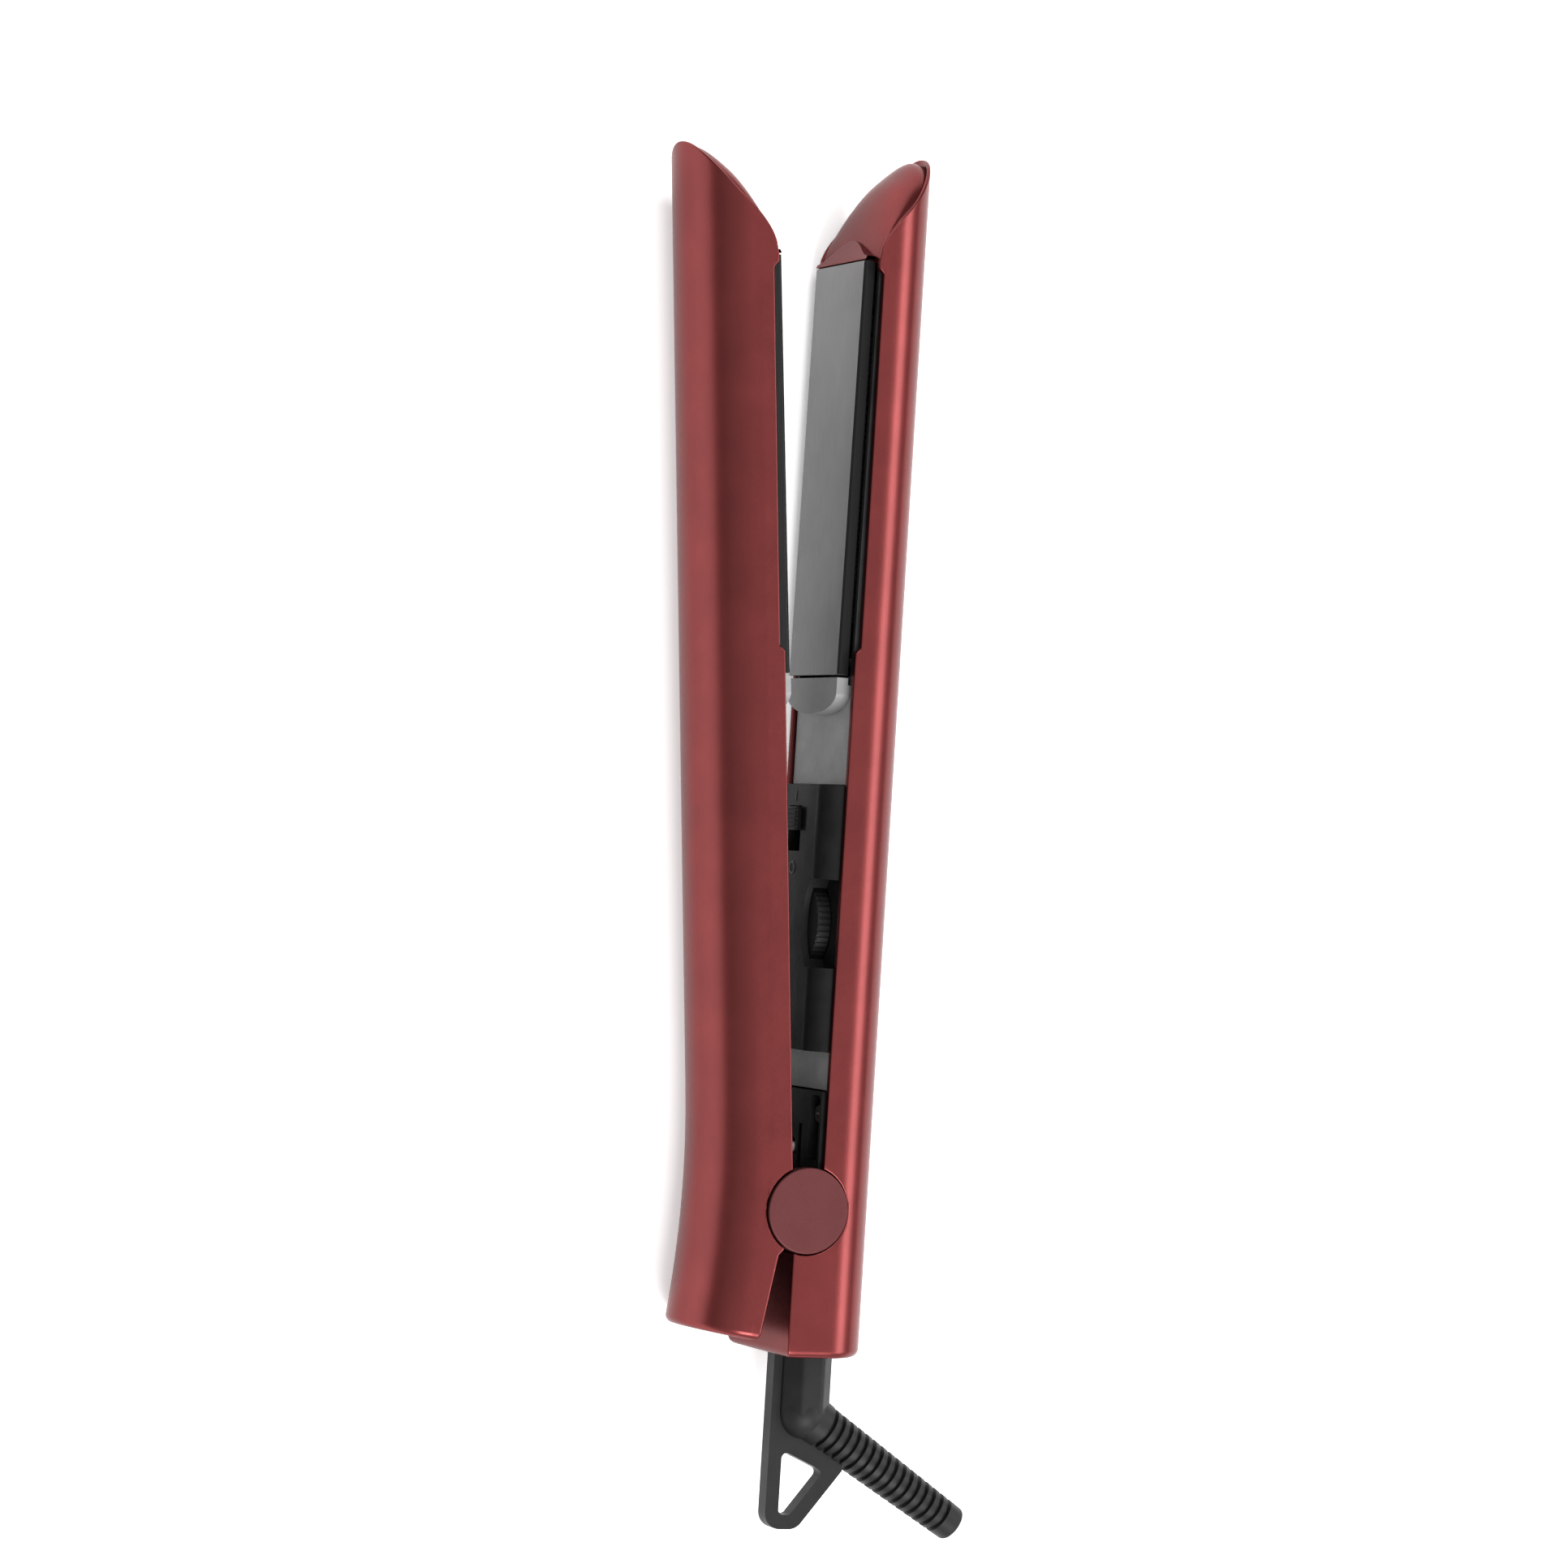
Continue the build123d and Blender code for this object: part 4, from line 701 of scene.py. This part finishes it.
def nose_dome(name):
    """Domed cap inside the nose's rim, elliptical across and fullest towards the tip."""
    axes = SHELLS[name]
    start = nose_line[0]
    chord = (nose_line[-1] - start) / np.linalg.norm(nose_line[-1] - start)
    ahead = np.array((chord[1], -chord[0]))
    full = HALF_WIDTH - NOSE_INSET
    mesh = bmesh.new()
    rows = []
    for share in np.linspace(0, 1, DOME_ROWS):
        level = EDGE + (BACK - NOSE_INSET - 0.01 - EDGE) * sin(share * pi / 2)
        rim = np.array((nose_x(level), level))
        reach = max(0.0, level - FLAT_END) / (SPAN - NOSE_INSET)
        half = full * sqrt(max(0.0, 1 - reach**2))
        swell = soft_step((rim - start).dot(chord) / DOME_RISE)
        bulge = DOME_LAND + DOME_BULGE * swell * (half / full) ** DOME_BLUNTNESS
        row = []
        for k in range(-DOME_STEPS, DOME_STEPS + 1):
            turn = pi / 2 * k / DOME_STEPS
            spot = rim + ahead * (bulge * cos(turn) - LIP_DROP)
            row.append(axes.point(spot[0], spot[1], half * sin(turn)))
        rows.append(row)
    grid_faces(mesh, rows)
    bmesh.ops.remove_doubles(mesh, verts=mesh.verts, dist=WELD)
    turn_out(mesh, axes.point(216, 7, 0), -axes.outward)
    walled(mesh, lambda spot: DOME_WALL, DOME_EDGE_ROUND)
    piece = finished(mesh, f"{name}_nose_dome", f"{name}_arm", "red_lacquer", [f"{name}_nose_piece"])
    evenly_shaded(piece)


def nose_ledge(name):
    """Bell-shaped ledge that runs on from the plate and falls away towards the dome."""
    axes = JAWS[name]
    mesh = bmesh.new()
    rows = []
    for k in range(-LEDGE_ROWS, LEDGE_ROWS + 1):
        share = k / LEDGE_ROWS
        reach = LEDGE_SHOULDER + (LEDGE_LENGTH - LEDGE_SHOULDER) * (1 - share**2) ** 2
        along = [LEDGE_START + reach * step / LEDGE_STEPS for step in range(LEDGE_STEPS + 1)]
        top = [(x, (x - LEDGE_START) * tan(LEDGE_SLOPE) + 0.05) for x in along]
        low = [(x, LEDGE_HEIGHT) for x in reversed(along)]
        loop = top + low + top[:1]
        rows.append([axes.point(x, depth, share * HALF_PLATE) for x, depth in loop])
    grid_faces(mesh, rows)
    bmesh.ops.remove_doubles(mesh, verts=mesh.verts, dist=WELD)
    turn_out(mesh, axes.point(LEDGE_START + 2, 0, 0), -axes.outward)
    piece = finished(mesh, f"{name}_nose_ledge", f"{name}_arm", "red_lacquer", [])
    rounded(piece, LEDGE_EDGE_ROUND)
    evenly_shaded(piece)


def softened(node_name, rounding):
    """Rounds the sharp edges of a carried-over node, as a moulding or a casting has them."""
    node = NODES[node_name]
    node.modifiers.new("weld", "WELD").merge_threshold = WELD
    rounded(node, rounding, angle=25)
    evenly_shaded(node)


# ---- Marks on the control block, and softened edges ---------------------------------
BLOCK_LOW = 0.6
SLOT_UP = -4.2
MARK_PROUD = 0.12
MARK_SUNK = 0.02
MARK_STROKE = 0.5
MARK_CREST = 0.6  # share of the stroke that is flat on top
ON_MARK_X = 88.4
ON_MARK_LENGTH = 2.4
OFF_MARK_X = 72.8
OFF_MARK_RADIUS = 1.2
RING_STEPS = 40
ROUNDINGS = {
    "control_block": 0.25,
    "power_slider_knob": 0.1,
    "control_plate_end_tab": 0.3,
    "plain_plate_end_tab": 0.3,
    "control_front_cover": 0.2,
    "control_rear_cover": 0.2,
    "plain_inner_cover": 0.2,
    "control_heating_plate": 0.12,
    "plain_heating_plate": 0.12,
}


def stroke_section(top):
    """Closed section of a raised stroke: how far across it and how deep each corner lies."""
    half = MARK_STROKE / 2
    crest = half * MARK_CREST
    foot = (-half, MARK_SUNK)
    return foot, (-crest, top), (crest, top), (half, MARK_SUNK), foot


def ring_mark(name):
    """Raised ring on the control block's lower face."""
    axes = SHELLS["control"]
    mesh = bmesh.new()
    rows = []
    for k in range(RING_STEPS):
        turn = 2 * pi * k / RING_STEPS
        loop = []
        for reach, depth in stroke_section(-MARK_PROUD):
            ring = OFF_MARK_RADIUS + reach
            x, up = OFF_MARK_X + ring * cos(turn), SLOT_UP + ring * sin(turn)
            loop.append(axes.point(x, BLOCK_LOW + depth, up))
        rows.append(loop)
    grid_faces(mesh, rows, closed=True)
    finished(mesh, name, "control_arm", "wheel_black", [])


def bar_mark(name):
    """Raised bar across the control block's lower face."""
    axes = SHELLS["control"]
    mesh = bmesh.new()
    rows = []
    for share in (-1, -0.9, 0.9, 1):
        x = ON_MARK_X + ON_MARK_LENGTH / 2 * share
        top = -MARK_PROUD if abs(share) < 1 else MARK_SUNK
        section = stroke_section(top)
        rows.append([axes.point(x, BLOCK_LOW + depth, SLOT_UP + reach) for reach, depth in section])
    grid_faces(mesh, rows)
    finished(mesh, name, "control_arm", "wheel_black", [])


bar_mark("switch_on_mark")
ring_mark("switch_off_mark")
for node_name, rounding in ROUNDINGS.items():
    softened(node_name, rounding)

for arm_name in SHELLS:
    arm_shell(arm_name)
    nose_dome(arm_name)
    nose_ledge(arm_name)

# ---- Floor, light and camera -----------------------------------------------------------------
VIEW_TILT = radians(24.4)
VIEW_ROLL = radians(1.35)
VIEW_DISTANCE = 1.105
VIEW_TARGET = Vector((0.0907, 0.0007, HINGE.z))
LENS = 117.7
FLOOR_SIZE = 3.0
FLOOR_GLOW = 0.4


def floor():
    """Pale seamless floor, which glows a little so that shadows stay faint."""
    bpy.ops.mesh.primitive_plane_add(size=FLOOR_SIZE, location=(VIEW_TARGET.x, 0, 0))
    plane = bpy.context.object
    plane.name = "studio_floor"
    material, tree, shader = new_material("studio_floor")
    tone = spread(tree, noise(tree, place(tree), 30, 3.0), 0.9, 0.92)
    joined = tree.nodes.new("ShaderNodeCombineColor")
    for channel in ("Red", "Green", "Blue"):
        tree.links.new(tone, joined.inputs[channel])
    tree.links.new(joined.outputs["Color"], shader.inputs["Base Color"])
    tree.links.new(joined.outputs["Color"], shader.inputs["Emission Color"])
    shader.inputs["Emission Strength"].default_value = FLOOR_GLOW
    shader.inputs["Roughness"].default_value = 0.7
    plane.data.materials.append(material)


def softbox(name, stand, aim, size, power):
    """Long soft area light."""
    lamp = bpy.data.lights.new(name, "AREA")
    lamp.shape = "RECTANGLE"
    lamp.size, lamp.size_y = size
    lamp.energy = power
    holder = bpy.data.objects.new(name, lamp)
    holder.location = stand
    back = (Vector(stand) - Vector(aim)).normalized()
    side = Vector((0, 1, 0)) if abs(back.x) > abs(back.y) else Vector((1, 0, 0))
    holder.rotation_euler = Matrix((side, back.cross(side), back)).transposed().to_euler()
    bpy.context.scene.collection.objects.link(holder)


def studio():
    """Soft dome that is dimmer near the horizon and beyond the nose."""
    world = bpy.data.worlds.new("studio")
    bpy.context.scene.world = world
    world.use_nodes = True
    tree = world.node_tree
    coords = tree.nodes.new("ShaderNodeTexCoord")
    height = tree.nodes.new("ShaderNodeVectorMath")
    height.operation = "DOT_PRODUCT"
    height.inputs[1].default_value = (-0.5, 0, 1)
    tree.links.new(coords.outputs["Generated"], height.inputs[0])
    light = spread(tree, height.outputs["Value"], 0.2, 0.85, 0.02, 0.6)
    tree.links.new(light, tree.nodes["Background"].inputs["Strength"])
    tree.nodes["Background"].inputs["Color"].default_value = (1, 1, 1, 1)


def camera():
    """Camera above the iron, tilted to the plain arm's side, with the nose at the top of the picture."""
    lens = bpy.data.cameras.new("camera")
    lens.lens = LENS
    holder = bpy.data.objects.new("camera", lens)
    bpy.context.scene.collection.objects.link(holder)
    back = Vector((0, sin(VIEW_TILT), cos(VIEW_TILT)))
    upward = Vector((cos(VIEW_ROLL), cos(VIEW_TILT) * sin(VIEW_ROLL), -sin(VIEW_TILT) * sin(VIEW_ROLL)))
    turn = Matrix((upward.cross(back), upward, back)).transposed()
    holder.matrix_world = Matrix.Translation(VIEW_TARGET + back * VIEW_DISTANCE) @ turn.to_4x4()
    bpy.context.scene.camera = holder


floor()
studio()
softbox("side_box", (0.09, -0.64, 0.48), (0.09, 0, 0.02), (1.1, 0.3), 5.5)
softbox("front_box", (1.0, 0, 1.25), (0.12, 0, 0), (0.9, 0.7), 8.0)
softbox("rear_box", (-0.9, 0, 1.2), (0.06, 0, 0), (0.9, 0.7), 24.0)
camera()
bpy.context.scene.view_settings.view_transform = "Standard"
